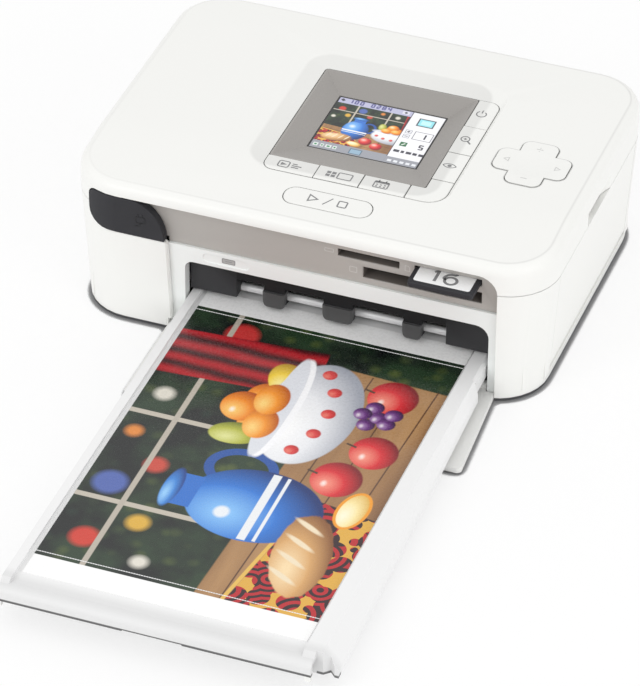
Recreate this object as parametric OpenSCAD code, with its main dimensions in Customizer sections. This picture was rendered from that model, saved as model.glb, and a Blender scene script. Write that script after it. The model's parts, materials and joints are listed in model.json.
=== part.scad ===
// Compact dye-sublimation photo printer with its paper cassette, one print and a memory card.
// X runs to the right, Y to the back and Z up; the origin is under the middle of the whole part.

/* [Body] */
// Width of the body over its sides
body_w = 178; // [174:1:190]
// Depth of the body from front to back
body_d = 127; // [124:1:136]
// Height of the body above the table
body_h = 60.3; // [59:0.1:64]
// Radius of the upright corners
corner_r = 19.3; // [16:0.1:22]
// How far each side leans in at its foot
side_taper = 2.8; // [1:0.1:3.5]
// Wall of the plastic casings
wall = 2.2; // [1.8:0.1:2.6]
// Distance from the top down to the seam between the two casings
seam_drop = 14.5; // [10:0.1:20]
// Height of the lower edge of the white case
case_foot_z = 1.2; // [1:0.1:1.6]
// Gap left between neighbouring casing pieces
panel_gap = 0.3; // [0.2:0.05:0.4]

/* [Top cover] */
// Radius of the rounded top edge
edge_r = 4.5; // [3.8:0.1:5]
// Inset of the crease where the top meets the rounded edge
crease_inset = 3.3; // [2.6:0.1:3.6]
// How far the top falls towards its front edge
front_drop = 2.6; // [1.5:0.1:3]
// Distance from the front face to where the fall begins
drop_reach = 33; // [30:1:36]
// Distance from the top down to the edge of the lip over the front
lip_drop = 7.6; // [6.5:0.1:9]
// Depth of the shallow dish round the display
dish_depth = 0.8; // [0.4:0.1:1]

/* [Display] */
// Width of the display bezel
bezel_w = 58.4; // [56:0.1:59]
// Depth of the display bezel from front to back
bezel_d = 58.8; // [56:0.1:60]
// Distance from the right side in to the bezel's right edge
bezel_inset = 55.2; // [52:0.1:57]
// Middle of the bezel from front to back
bezel_y = 0.3; // [0:0.1:1]
// Width of the display window
window_w = 41.5; // [38:0.1:43]
// Depth of the display window
window_d = 34.8; // [30:0.1:36]
// How far the window's middle lies behind the bezel's middle
window_back = 2.9; // [1:0.1:4]
// Depth of the window below the bezel's rim
window_sink = 4; // [3:0.1:5]

/* [Keys] */
// Width of the key column beside the display
column_w = 8.4; // [7:0.1:9]
// Depth of the key row in front of the display
row_d = 8; // [7:0.1:8.5]
// Gap round each key
key_gap = 0.3; // [0.2:0.05:0.4]
// Travel of a key when pressed
key_travel = 0.7; // [0.4:0.1:0.9]
// Length of the start key
start_w = 32.5; // [28:0.5:36]
// Width of the start key
start_d = 9; // [8:0.1:10]
// Distance from the front face to the middle of the start key
start_y = 14.9; // [14:0.1:16]
// Span of the four-way key over its arms
cross_span = 26.8; // [24:0.1:28]
// Width of the four-way key's arms
cross_arm = 13; // [11:0.1:14]
// Distance from the right side in to the middle of the cross key
cross_inset = 24.4; // [20:0.1:27]
// Middle of the four-way key from front to back
cross_y = -3.4; // [-6:0.1:0]

/* [Front] */
// Width left of the white frame, from the left side
cap_bay_w = 38.1; // [34:0.1:42]
// Distance from the right side in to the white frame
frame_inset = 16.8; // [15:0.1:20]
// How far the frame stands back from the front face
frame_back = 2.5; // [2:0.1:3]
// Depth of the frame from front to back
frame_d = 4.2; // [4:0.1:4.6]
// Distance from the top down to the top of the white frame
frame_drop = 24.3; // [23:0.1:26]
// Height of the white frame over the paper opening
lintel_h = 6.4; // [5.4:0.1:8]
// Width of the white frame left of the paper opening
mouth_inset_left = 6.5; // [5:0.1:8]
// Width of the white frame right of the paper opening
mouth_inset_right = 3.3; // [2.5:0.1:4]
// How far the card panel stands back from the front face
panel_back = 3.5; // [3:0.1:4]
// Thickness of the card panel
panel_t = 2; // [1.5:0.1:2.4]
// Height of the guide fingers' lower ends
finger_z = 15; // [14.6:0.1:16]
// Reach of the folded-down slot door in front of the body
door_reach = 43; // [36:0.5:46]
// Thickness of the slot door
door_t = 2; // [1.6:0.1:2.2]
// Radius of the slot door's hinge rod
door_pin_r = 0.8; // [0.7:0.05:0.9]

/* [Card slots] */
// Thickness of the card panel in front of the card reader
skin_t = 0.6; // [0.5:0.1:0.8]
// Width of the wide card slot
cf_w = 43.6; // [43.2:0.1:45]
// Height of the wide card slot
cf_h = 4.7; // [4.4:0.1:5]
// Depth of the wide card slot
cf_d = 34; // [30:1:36]
// Width of the memory card
card_w = 24; // [23.5:0.1:24.5]
// Length of the memory card
card_l = 32; // [31:0.5:33]
// Thickness of the memory card
card_t = 2.1; // [1.8:0.1:2.4]
// How far the memory card sticks out of the panel
card_out = 9.5; // [6:0.5:12]
// Width of the stick slot
stick_w = 22.7; // [22:0.1:23]
// Height of the stick slot
stick_h = 3; // [2.8:0.1:3.2]

/* [Side cover] */
// Width of the cover over the cartridge bay
cover_w = 88; // [84:1:90]
// Height of the cover's lower edge
cover_z = 4.6; // [4.4:0.1:5.5]
// Radius of the cover's hinge rod
cover_pin_r = 1; // [0.8:0.05:1.1]

/* [Cable cap] */
// Height of the cable cap, down from the lip
cap_h = 15.1; // [12:0.1:17]
// Distance from the left side in to the cap's left edge
cap_inset = 8; // [7:0.1:10]
// How far the cap stands proud of the case
cap_proud = 0.3; // [0:0.05:0.3]
// Thickness of the cap
cap_t = 3.4; // [3:0.1:4]

/* [Cassette and paper] */
// Distance from the opening's right side in to the print
print_inset_right = 7.7; // [7.5:0.1:9]
// Length of the printed picture
picture_l = 148; // [146:1:150]
// Length of the tear-off margin at each end
margin_l = 10; // [8:0.5:11]
// How far the picture runs on past each scored line
bleed = 1.9; // [1.5:0.1:2.5]
// Thickness of the print
print_t = 0.3; // [0.25:0.01:0.35]
// Distance from the opening's left side in to the print
print_inset_left = 5.6; // [5.4:0.1:7]
// Height of the surface that the print lies on
tray_z = 12.3; // [12:0.1:12.6]
// How far the picture's rear end lies in front of the body's middle
picture_rear = 62.8; // [62:0.1:64]
// How far the cassette's front end lies in front of the body's middle
cassette_front = 231.5; // [229:0.5:234]
// How far the cassette's rear end lies in front of the body's middle
cassette_rear = 29.5; // [28:0.5:31]
// Height of the cassette's underside
cassette_z = 4.6; // [4.5:0.1:5]
// Height of the lower edge of the cassette's front wall
apron_z = 7.2; // [6:0.1:7.5]
// Wall of the cassette
cassette_wall = 1.6; // [1.4:0.1:1.8]
// Height of the paper stack
stack_h = 3.6; // [2:0.1:3.8]

/* [Mechanism] */
// Height of the paper path through the printing unit
path_z = 18.3; // [18:0.1:18.6]
// Gap between a roller and the paper path
path_gap = 0.1; // [0.05:0.05:0.2]
// Radius of the platen roller
platen_r = 6; // [5:0.1:6.5]
// Radius of the grip roller
grip_r = 3; // [2.5:0.1:3.2]
// Radius of the pickup roller's sleeves
pickup_r = 6.2; // [5.5:0.1:6.6]
// Radius of the roller shafts
shaft_r = 1.5; // [1.3:0.1:1.7]
// Radial running clearance of a shaft in its bearing
run_gap = 0.05; // [0.02:0.01:0.1]
// Tooth module of the roller gears
roller_module = 0.8; // [0.78:0.01:0.82]
// Tooth module of the motor gears
motor_module = 0.5; // [0.48:0.01:0.52]
// Room over the ribbon tubes for the print head's pivot
pivot_room = 5.7; // [5.6:0.1:6.5]
// Half the distance between the cartridge's two spools
spool_reach = 22; // [21.5:0.1:23]
// Middle of the cartridge and the print head from front to back
head_y = 9; // [8.5:0.1:11]
// Height of the underside of the ribbon tubes
spool_low = 19.8; // [19.4:0.1:20.4]
// Thickness of the chassis side plates
plate_t = 1.2; // [1:0.1:1.6]
// Distance of the left chassis plate outside the paper opening
left_plate_out = 8.6; // [8:0.1:9.6]
// Distance of the right chassis plate outside the paper opening
right_plate_out = 5.1; // [4.6:0.1:6]

/* [Hidden] */

// Circles of true bores and rollers
$fn = 48;
// Steps of each corner and edge arc in the moulded shells
HULL_FN = 32;
// Overlap that keeps a cut clean
E = 0.05;

half_w = body_w / 2;
half_d = body_d / 2;
front_y = -half_d;
drop_y = front_y + drop_reach;
// The assembly's box is centred on the origin
place_y = (cassette_front - half_d) / 2;
seam_z = body_h - seam_drop;
lip_z = body_h - lip_drop;
cap_z = lip_z - cap_h;
frame_left = -half_w + cap_bay_w;
frame_right = half_w - frame_inset;
frame_top = body_h - frame_drop;
mouth_left = frame_left + mouth_inset_left;
mouth_right = frame_right - mouth_inset_right;
mouth_top = frame_top - lintel_h;
left_plate_x = mouth_left - left_plate_out;
right_plate_x = mouth_right + right_plate_out;
cross_x = half_w - cross_inset;

// Top edge arc: from the upright side to the crease
arc_end = acos((edge_r - crease_inset) / edge_r);
arc_rise = edge_r * sin(arc_end);
ARC_STEPS = 6;
CORNER_STEPS = 8;

// Slope of the falling front part of the top
drop_angle = atan(front_drop / (drop_reach - crease_inset));
function top_z(y) = body_h - fall(y);

// Side face: leans in below the seam
side_angle = atan(side_taper / (seam_z - case_foot_z));
function side_x(z) = half_w - (z < seam_z ? (seam_z - z) * tan(side_angle) : 0);

frame_y = front_y + frame_back;
panel_y = front_y + panel_back;
rim_z = body_h - dish_depth;
window_z = rim_z - window_sink;
window_y = bezel_y + window_back;
bezel_floor = 1.6;
display_t = 3.1;
board_t = 1.5;
board_z = window_z - bezel_floor - display_t - board_t;
board_room = 5.4;
plate_top = board_z - board_room;
tube_r = (plate_top - pivot_room - spool_low) / 2;
spool_z = spool_low + tube_r;

bezel_x = half_w - bezel_inset - bezel_w / 2;
print_left = mouth_left + print_inset_left;
print_right = mouth_right - print_inset_right;
print_w = print_right - print_left;
print_mid = (print_left + print_right) / 2;
print_rear = -picture_rear + margin_l;
print_l = picture_l + 2 * margin_l;

// Roller gears: the train runs exit, pickup, grip
EXIT_TEETH = 17;
PICKUP_TEETH = 20;
GRIP_TEETH = 16;
WHEEL_TEETH = 40;
PINION_TEETH = 10;
function centre_distance(m, a, b) = m * (a + b) / 2;
function reach_y(d, rise) = sqrt(d * d - rise * rise);
exit_gap = 0.6;
sleeve_r = 2.7;
exit_z = tray_z + print_t + exit_gap + sleeve_r;
exit_y = front_y + 13;
pickup_z = 19.6;
pickup_y = exit_y + reach_y(centre_distance(roller_module, EXIT_TEETH, PICKUP_TEETH),
    pickup_z - exit_z);
grip_z = path_z - path_gap - grip_r;
grip_y = pickup_y + reach_y(centre_distance(roller_module, GRIP_TEETH, PICKUP_TEETH),
    pickup_z - grip_z);
// The motor lies up and to the back of the grip roller
motor_lean = 60;
motor_distance = centre_distance(motor_module, WHEEL_TEETH, PINION_TEETH);
motor_y = grip_y + motor_distance * cos(motor_lean);
motor_z = grip_z + motor_distance * sin(motor_lean);
pinch_r = 2.4;
pinch_z = path_z + path_gap + print_t + pinch_r;
platen_z = path_z - path_gap - platen_r;
supply_y = head_y - spool_reach;
takeup_y = head_y + spool_reach;
head_pivot_y = takeup_y + 17;
head_pivot_z = spool_z + tube_r + 2.2;

// Phase that puts a gear in mesh with its driver, which lies at angle lean from it seen
// from the driver: a tooth of one faces a gap of the other
function mesh_phase(phase, teeth, next_teeth, lean) =
    lean + 180 - (0.5 - (lean - phase) * teeth / 360) * 360 / next_teeth;
lean_exit = atan2(pickup_z - exit_z, pickup_y - exit_y);
lean_pickup = atan2(grip_z - pickup_z, grip_y - pickup_y);
pickup_phase = mesh_phase(0, EXIT_TEETH, PICKUP_TEETH, lean_exit);
grip_phase = mesh_phase(pickup_phase, PICKUP_TEETH, GRIP_TEETH, lean_pickup);
pinion_phase = mesh_phase(0, WHEEL_TEETH, PINION_TEETH, motor_lean);

// Planes across the body
gear_x = left_plate_x - 5.2;
gear_w = 4;
wheel_x = gear_x - 3.8;
wheel_w = 3;
inner_left = left_plate_x + plate_t;
cartridge_left = print_left - 4.4;
cartridge_right = print_right + 6.6;

// Card slots, seen from the front
cf_x = frame_right - 50.2;
cf_z = frame_top + 2.6;
slot_top = lip_z - 4.1;
stick_x = frame_right - 59.6;
card_x = frame_right - 31;
card_gap = 0.3;
card_z = slot_top - card_gap - card_t;
reader_right = frame_right - 3.8;
reader_left = stick_x - 1.6;
reader_y = panel_y + skin_t + 0.05;
reader_d = cf_d + 2;
reader_low = cf_z - 0.8;
stick_d = 26;

// Cable cap outline
cap_left = -half_w + cap_inset;
cap_right = frame_left - 0.3;

base_z = 0.25;
base_top = 3.4;
foot_r = 6;

//-- helpers -----------------------------------------------------------------------

// Points of an arc, for outlines
function arc(cx, cy, r, a0, a1, steps) =
    [for (i = [0 : steps]) let (a = a0 + (a1 - a0) * i / steps) [cx + r * cos(a), cy + r * sin(a)]];

module at_home() translate([0, place_y, 0]) children();

// Rectangle with rounded corners, from exact squares and circles
module round_rect(w, d, r) {
    square([w - 2 * r, d], center = true);
    square([w, d - 2 * r], center = true);
    for (x = [-1, 1], y = [-1, 1])
        translate([x * (w / 2 - r), y * (d / 2 - r)]) circle(r);
}

// Rounded slab standing on z, for the shells' lofts
module slab(w, d, r, z) {
    translate([0, 0, z]) linear_extrude(0.01) round_rect(w, d, r, $fn = HULL_FN);
}

module box(x0, x1, y0, y1, z0, z1) translate([x0, y0, z0]) cube([x1 - x0, y1 - y0, z1 - z0]);

// Shape drawn in the YZ plane and drawn out along X
module along_x(x0, x1) translate([x0, 0, 0]) rotate([90, 0, 90]) linear_extrude(x1 - x0) children();

// Shape drawn in the XZ plane and drawn out along Y
module along_y(y0, y1) translate([0, y1, 0]) rotate([90, 0, 0]) linear_extrude(y1 - y0) children();

// Round bar along X
module bar_x(x0, x1, y, z, r) translate([x0, y, z]) rotate([0, 90, 0]) cylinder(h = x1 - x0, r = r);

// Lower case volume: upright front and back, leaning sides
module lower_volume(inset, z0, z1) {
    hull() {
        slab(2 * (side_x(z0) - inset), body_d - 2 * inset, corner_r - inset, z0);
        slab(2 * (side_x(z1) - inset), body_d - 2 * inset, corner_r - inset, z1 - 0.01);
    }
}

// Outline of the body inset all round, with a point on each side where the fall begins
function body_ring(inset) = let (
    r = corner_r - inset, x = half_w - corner_r, y = half_d - corner_r, n = CORNER_STEPS
) concat([[half_w - inset, drop_y]], arc(x, y, r, 0, 90, n), arc(-x, y, r, 90, 180, n),
    [[inset - half_w, drop_y]], arc(-x, -y, r, 180, 270, n), arc(x, -y, r, 270, 360, n));

// How far the top has fallen at a place in front of where the fall begins
function fall(y) = max(0, drop_y - y) * tan(drop_angle);

// Solid through rings of points, closed at both ends; its top folds along one line
module loft(rings) {
    m = len(rings[0]);
    last = len(rings) - 1;
    fold = m / 2;
    sides = [for (k = [0 : last - 1], i = [0 : m - 1]) let (
        a = k * m + i, b = k * m + (i + 1) % m) each [[a, a + m, b + m], [a, b + m, b]]];
    polyhedron([for (r = rings) each r], concat(sides, [
        [for (i = [0 : m - 1]) i],
        [for (i = [fold : -1 : 0]) last * m + i],
        concat([last * m], [for (i = [m - 1 : -1 : fold]) last * m + i])]));
}

// Top cover volume: rounded edge up to the crease, falling towards the front
module top_volume(inset, z0, lower) {
    side_top = body_h - arc_rise - lower;
    loft(concat([[for (p = body_ring(inset)) [p[0], p[1], z0]]],
        [for (i = [0 : ARC_STEPS]) let (t = arc_end * i / ARC_STEPS)
            [for (p = body_ring(inset + edge_r * (1 - cos(t))))
                [p[0], p[1], side_top + edge_r * sin(t) - fall(p[1])]]]));
}

// Spur gear with straight-flanked teeth, one tooth's middle at the phase angle
module spur(m, teeth, h, bore, phase) {
    pitch_r = m * teeth / 2;
    tip_r = pitch_r + 0.9 * m;
    root_r = pitch_r - 1.15 * m;
    step = 360 / teeth;
    linear_extrude(h) difference() {
        union() {
            circle(root_r, $fn = 48);
            for (i = [0 : teeth - 1]) rotate(phase + i * step)
                polygon([[root_r - m / 2, -0.30 * step * PI / 180 * root_r],
                    [tip_r, -0.12 * step * PI / 180 * tip_r],
                    [tip_r, 0.12 * step * PI / 180 * tip_r],
                    [root_r - m / 2, 0.30 * step * PI / 180 * root_r]]);
        }
        circle(bore);
    }
}

module gear_at(x, y, z, m, teeth, h, bore, phase)
    translate([x, y, z]) rotate([90, 0, 90]) spur(m, teeth, h, bore, phase);

//-- casings -----------------------------------------------------------------------

screw_x = half_w - 12;
screw_y = half_d - 10.5;
screw_r = 1.25;
screw_head_r = 2.6;
screw_head_h = 1.5;
boss_r = 3.2;
boss_h = 9.5;
foot_x = half_w - 23;
foot_y = half_d - 17;
foot_sink = 0.6;
door_rod_y = frame_y + 2.4;
door_rod_z = 2.9;
notch_y = frame_y + frame_d + 0.1;
cover_rod_z = cover_z + 2;
cover_rod_x = side_x(cover_rod_z) - 2.1;
cover_barrel_r = 2;
rib_t = 1.6;
exit_slot_z = path_z - 2.6;
exit_slot_h = 5.2;
inlet_x = -half_w + 21;
inlet_z = 15;
inlet_w = 11;
vent_top = seam_z - 6.8;

module at_corners(x, y) for (i = [-1, 1], j = [-1, 1]) translate([i * x, j * y, 0]) children();

module base_plate() color([0.28, 0.28, 0.29]) at_home() difference() {
    union() {
        skirt_in = 0.15;
        translate([0, 0, base_z]) linear_extrude(case_foot_z - 0.1 - base_z)
            round_rect(2 * (side_x(case_foot_z) - skirt_in), body_d - 2 * skirt_in,
                corner_r - skirt_in);
        floor_in = wall + panel_gap;
        translate([0, 0, base_z]) linear_extrude(base_top - base_z)
            round_rect(2 * (side_x(case_foot_z) - floor_in), body_d - 2 * floor_in,
                corner_r - floor_in);
    }
    box(frame_left - E, frame_right + E, front_y - 2, notch_y, -1, base_top + 1);
    at_corners(foot_x, foot_y) translate([0, 0, base_z - 1]) cylinder(h = 1 + foot_sink, r = foot_r + 0.1);
    at_corners(screw_x, screw_y) {
        translate([0, 0, base_z - 1]) cylinder(h = 1 + screw_head_h, r = screw_head_r + 0.2);
        translate([0, 0, base_z - 1]) cylinder(h = 6, r = screw_r + 0.3);
    }
    // Air slots under the printing unit
    for (i = [0 : 5]) box(-30 + i * 14, -22 + i * 14, 25, 27, -1, base_top + 1);
}

module rubber_feet() color([0.2, 0.2, 0.2]) at_home() at_corners(foot_x, foot_y)
    cylinder(h = base_z + foot_sink, r = foot_r);

module case_screws() color([0.6, 0.6, 0.62]) at_home() at_corners(screw_x, screw_y) {
    translate([0, 0, base_z + 0.1]) cylinder(h = screw_head_h - 0.1, r = screw_head_r);
    translate([0, 0, base_z + 0.2]) cylinder(h = 9, r = screw_r);
}

// Front view of the cable cap, grown by a gap
module cap_outline(grow) {
    left = cap_left - grow;
    right = cap_right + grow;
    low = cap_z - grow;
    high = lip_z - panel_gap + grow;
    sweep = high - low;
    side_run = 13.6 + grow;
    polygon(concat(
        [for (p = arc(0, 0, 1, 180, 270, 6)) [left + 8 + 8 * p[0], low + 6 + 6 * p[1]]],
        [for (p = arc(0, 0, 1, 0, 84, 9)) [right - side_run + side_run * p[0], low + sweep * p[1]]],
        arc(left + 4, high - 4, 4, 90, 180, 5)));
}

// Lower case: a tapering shell, open at the top, with its openings
module case_shell() difference() {
    top = seam_z - panel_gap / 2;
    lower_volume(0, case_foot_z, top);
    lower_volume(wall, case_foot_z - 1, top + 1);
    box(frame_left, frame_right, front_y - 1, front_y + 6, 0, seam_z + 1);
    box(cap_right - 15, frame_left + E, front_y - 1, front_y + 6, cap_z - panel_gap, seam_z + 1);
    along_y(front_y - 5, front_y + 13) cap_outline(panel_gap);
    box(half_w - 12, half_w + 2, -cover_w / 2, cover_w / 2, cover_z - panel_gap, seam_z + 1);
    // Slot that the paper passes through at the back, inlet and air slots
    box(print_left - 3, print_right + 3, half_d - 6, half_d + 2, exit_slot_z,
        exit_slot_z + exit_slot_h);
    inlet_half = inlet_w / 2 + 0.2;
    box(inlet_x - inlet_half, inlet_x + inlet_half, half_d - 6, half_d + 2,
        inlet_z - inlet_half, inlet_z + inlet_half);
    for (i = [0 : 11]) box(2 + i * 5, 4.2 + i * 5, half_d - 6, half_d + 2, vent_top - 12, vent_top);
    for (i = [0 : 8]) box(-half_w - 2, -half_w + 6, -4 + i * 5, -1.8 + i * 5, vent_top - 12,
        vent_top);
}

module lower_case() color([0.955, 0.955, 0.94]) at_home() difference() {
    block_w = 5;
    block_y = cover_w / 2;
    union() {
        case_shell();
        // Screw bosses, each on a rib from the corner
        at_corners(screw_x, screw_y) translate([0, 0, base_top + 0.1])
            cylinder(h = boss_h, r = boss_r);
        for (i = [-1, 1], j = [-1, 1]) translate([i * screw_x, j * screw_y, base_top + 0.1])
            rotate(atan2(j, i)) translate([boss_r - 0.3, -0.8, 0]) cube([3.6, 1.6, boss_h]);
        // Blocks that hold the ends of the side cover's rod
        for (y = [-block_y - block_w, block_y])
            translate([cover_rod_x - 3.4, y, base_top + 0.1]) cube([5.2, block_w, 7]);
    }
    at_corners(screw_x, screw_y) translate([0, 0, base_top]) cylinder(h = 8.5, r = screw_r + 0.05);
    translate([cover_rod_x, block_y + block_w - 0.5, cover_rod_z]) rotate([90, 0, 0])
        cylinder(h = 2 * (block_y + block_w) - 1, r = cover_pin_r + run_gap);
}

key_top = rim_z + 0.3;
row_back = bezel_y - bezel_d / 2;
row_mid = row_back - row_d / 2 - key_gap;
column_x = bezel_x + bezel_w / 2 + column_w / 2 + key_gap;
start_mid = front_y + start_y;
board_left = bezel_x - 36.6;
board_right = half_w - 7;
board_front = front_y + 9;
board_back = half_d - 23.5;
scoop_half = 13;
scoop_depth = 2.8;
scoop_top = body_h - 9;

// Top view of the four-way key, grown by a gap
module cross_outline(grow) translate([cross_x, cross_y]) {
    round_rect(cross_span + 2 * grow, cross_arm + 2 * grow, 3.2 + grow);
    round_rect(cross_arm + 2 * grow, cross_span + 2 * grow, 3.2 + grow);
}

// Top view of the keys' common opening round the display
module console_outline(grow) {
    left = bezel_x - bezel_w / 2;
    right = column_x + column_w / 2;
    low = row_mid - row_d / 2;
    back = bezel_y + bezel_d / 2;
    polygon(concat(
        arc(left + 4, low + 4, 4 + grow, 180, 270, 5),
        arc(right - 7, low + 7, 7 + grow, 270, 360, 6),
        arc(right - 4, back - 4, 4 + grow, 0, 90, 5),
        arc(left + 1, back - 1, 1 + grow, 90, 180, 2)));
}

module start_outline(grow) round_rect(start_w + 2 * grow, start_d + 2 * grow, 4.2 + grow);

// Tilts a shape with the falling part of the top about the start key's middle
module on_slope(x, y) translate([x, y, top_z(y)]) rotate([drop_angle, 0, 0]) children();

module top_cover() color([0.96, 0.96, 0.945]) at_home() {
    bottom = seam_z + panel_gap / 2;
    difference() {
        union() {
            difference() {
                top_volume(0, bottom, 0);
                top_volume(wall, bottom - 1, wall);
            }
            // Backing of the finger scoop
            box(half_w - 7, half_w - 1.5, -scoop_half - 2, scoop_half + 2, bottom, scoop_top + wall);
            // Rim that locates the cover inside the lower case
            difference() {
                union() {
                    translate([0, 0, bottom]) linear_extrude(1.5)
                        round_rect(body_w - 4, body_d - 4, corner_r - 2);
                    translate([0, 0, bottom - 2.2]) linear_extrude(2.3)
                        round_rect(body_w - 5.2, body_d - 5.2, corner_r - 2.6);
                }
                translate([0, 0, bottom - 3]) linear_extrude(6)
                    round_rect(body_w - 7.4, body_d - 7.4, corner_r - 3.7);
                box(half_w - 8, half_w, -cover_w / 2 - 6, cover_w / 2 + 6, bottom - 3, bottom);
                box(-half_w, frame_right + 2, front_y, front_y + 12, bottom - 3, bottom + 2);
            }
            // Posts that hold the key board
            for (x = [board_left + 4, board_right - 4], y = [board_front + 4, board_back - 4])
                translate([x, y, board_z + board_t + 0.05])
                    cylinder(h = top_z(y) - wall / 2 - board_z - board_t, r = 2.2);
        }
        // Front opening over the card panel and the cable cap
        along_y(front_y - 5, front_y + wall + 0.6) {
            polygon(concat([[cap_right - 16, seam_z - 4], [frame_right, seam_z - 4]],
                arc(frame_right - 7, lip_z - 7, 7, 0, 90, 6), [[cap_right - 16, lip_z]]));
        }
        along_y(front_y - 5, front_y + 13) cap_outline(panel_gap);
        // Shallow dish round the display and its keys
        hull() {
            translate([0, 0, rim_z]) linear_extrude(0.01) console_outline(0.6);
            translate([bezel_x + 0.8, bezel_y + 0.1, body_h + 0.02]) linear_extrude(0.3)
                round_rect(77, 75.6, 7, $fn = 24);
        }
        translate([0, 0, rim_z - 10]) linear_extrude(12) console_outline(key_gap);
        translate([0, 0, rim_z - 10]) linear_extrude(14) cross_outline(key_gap);
        on_slope(bezel_x, start_mid) translate([0, 0, -6]) linear_extrude(8) start_outline(key_gap);
        // Finger scoop over the side cover
        segment_r = (scoop_half * scoop_half + scoop_depth * scoop_depth) / (2 * scoop_depth);
        translate([half_w - scoop_depth + segment_r, 0, bottom - 1])
            cylinder(h = scoop_top - bottom + 1, r = segment_r, $fn = 96);
    }
}

//-- display and keys ---------------------------------------------------------------

module display_bezel() color([0.67, 0.65, 0.63]) at_home() difference() {
    low = window_z - bezel_floor;
    union() {
        translate([bezel_x, bezel_y, low]) linear_extrude(rim_z - low)
            round_rect(bezel_w, bezel_d, 1);
        // Flange under the keys and the cover's inner face
        translate([0, 0, low]) linear_extrude(1.2) console_outline(2.5);
    }
    hull() {
        translate([bezel_x, bezel_y, rim_z]) linear_extrude(0.1)
            square([bezel_w - 1.6, bezel_d - 1.6], center = true);
        translate([bezel_x, window_y, window_z]) linear_extrude(0.01)
            square([window_w, window_d], center = true);
    }
    translate([bezel_x, window_y, low - 1]) linear_extrude(bezel_floor + 2)
        square([window_w, window_d], center = true);
    // Holes for the key stems
    for (p = key_stems) translate([p[0], p[1], low - 1]) cylinder(h = 6, r = stem_r + 0.3);
}

module display_panel() color([0.08, 0.09, 0.11]) at_home() {
    low = window_z - bezel_floor;
    translate([bezel_x, window_y, board_z + board_t]) linear_extrude(low - 0.05 - board_z - board_t)
        round_rect(window_w + 6, window_d + 6, 1);
    translate([bezel_x, window_y, low - 0.2]) linear_extrude(bezel_floor + 0.05)
        square([window_w - 0.4, window_d - 0.4], center = true);
}

module key_board() color([0.13, 0.36, 0.22]) at_home() difference() {
    box(board_left, board_right, board_front, board_back, board_z, board_z + board_t);
    for (x = [board_left + 4, board_right - 4], y = [board_front + 4, board_back - 4])
        translate([x, y, board_z - 1]) cylinder(h = 4, r = 1.2);
}

stem_r = 1.4;
key_t = 2.2;
row_left = bezel_x - bezel_w / 2;
row_split = [row_left, bezel_x - 9.9, bezel_x + 6.9, bezel_x + 24.1];
column_split = [bezel_y - 23.5, bezel_y - 5.7, bezel_y + 11.8, bezel_y + bezel_d / 2];
key_stems = [for (i = [0 : 2]) [(row_split[i] + row_split[i + 1]) / 2, row_mid],
    for (i = [0 : 2]) [column_x, (column_split[i] + column_split[i + 1]) / 2]];

// A key: its part of the common outline, with a stem to its switch
module key_in(x0, x1, y0, y1, stem) {
    translate([0, 0, key_top - key_t]) linear_extrude(key_t) intersection() {
        console_outline(0);
        polygon([[x0, y0], [x1, y0], [x1, y1], [x0, y1]]);
    }
    translate([stem[0], stem[1], board_z + board_t + key_travel + 0.1])
        cylinder(h = key_top - key_t / 2 - board_z - board_t - key_travel - 0.1, r = stem_r);
}

module row_key(i) color([0.95, 0.95, 0.935]) at_home()
    key_in(row_split[i] + (i > 0 ? key_gap / 2 : 0), row_split[i + 1] - key_gap / 2,
        row_mid - row_d / 2, row_mid + row_d / 2, key_stems[i]);

module column_key(i) color([0.95, 0.95, 0.935]) at_home()
    key_in(column_x - column_w / 2, column_x + column_w / 2, column_split[i] + key_gap / 2,
        column_split[i + 1] - (i < 2 ? key_gap / 2 : 0), key_stems[3 + i]);

module key_mode() row_key(0);
module key_layout() row_key(1);
module key_date() row_key(2);
module key_eye() column_key(0);
module key_zoom() column_key(1);
module key_power() column_key(2);

// Fixed corner between the row and the column
module key_corner() color([0.95, 0.95, 0.935]) at_home() {
    low = window_z - bezel_floor + 1.2;
    translate([0, 0, low]) linear_extrude(key_top - low) difference() {
        intersection() {
            console_outline(0);
            translate([row_split[3] + key_gap / 2, row_mid - row_d / 2])
                square([30, column_split[0] - row_mid + row_d / 2 - key_gap / 2]);
        }
        translate([bezel_x, bezel_y]) square([bezel_w + 2 * key_gap, bezel_d + 2 * key_gap],
            center = true);
    }
}

module key_start() color([0.95, 0.95, 0.935]) at_home() {
    on_slope(bezel_x, start_mid) translate([0, 0, -key_t + 0.3]) linear_extrude(key_t)
        start_outline(0);
    low = board_z + board_t + key_travel + 0.1;
    translate([bezel_x, start_mid, low]) cylinder(h = top_z(start_mid) - 1 - low, r = stem_r);
}

cross_hinge_z = body_h - 3.3;
pivot_r = 2;

module cross_key() color([0.95, 0.95, 0.935]) at_home() difference() {
    union() {
        translate([0, 0, body_h - key_t + 0.3]) linear_extrude(key_t) cross_outline(0);
        translate([cross_x, cross_y, cross_hinge_z - 3.4])
            cylinder(h = body_h - key_t - cross_hinge_z + 3.8, r = 3.6);
    }
    // Dished middle
    dish_r = 60;
    translate([cross_x, cross_y, body_h + 0.3 - 0.7 + dish_r]) sphere(r = dish_r, $fn = 96);
    translate([cross_x, cross_y, cross_hinge_z - 4]) cylinder(h = 4.5, r = pivot_r + 0.25);
}

module cross_pivot() color([0.85, 0.85, 0.85]) at_home()
    translate([cross_x, cross_y, board_z + board_t + 0.15]) {
        cylinder(h = 1.2, r = 3.2);
        cylinder(h = cross_hinge_z - board_z - board_t, r = pivot_r);
    }

//-- front ----------------------------------------------------------------------------

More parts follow.
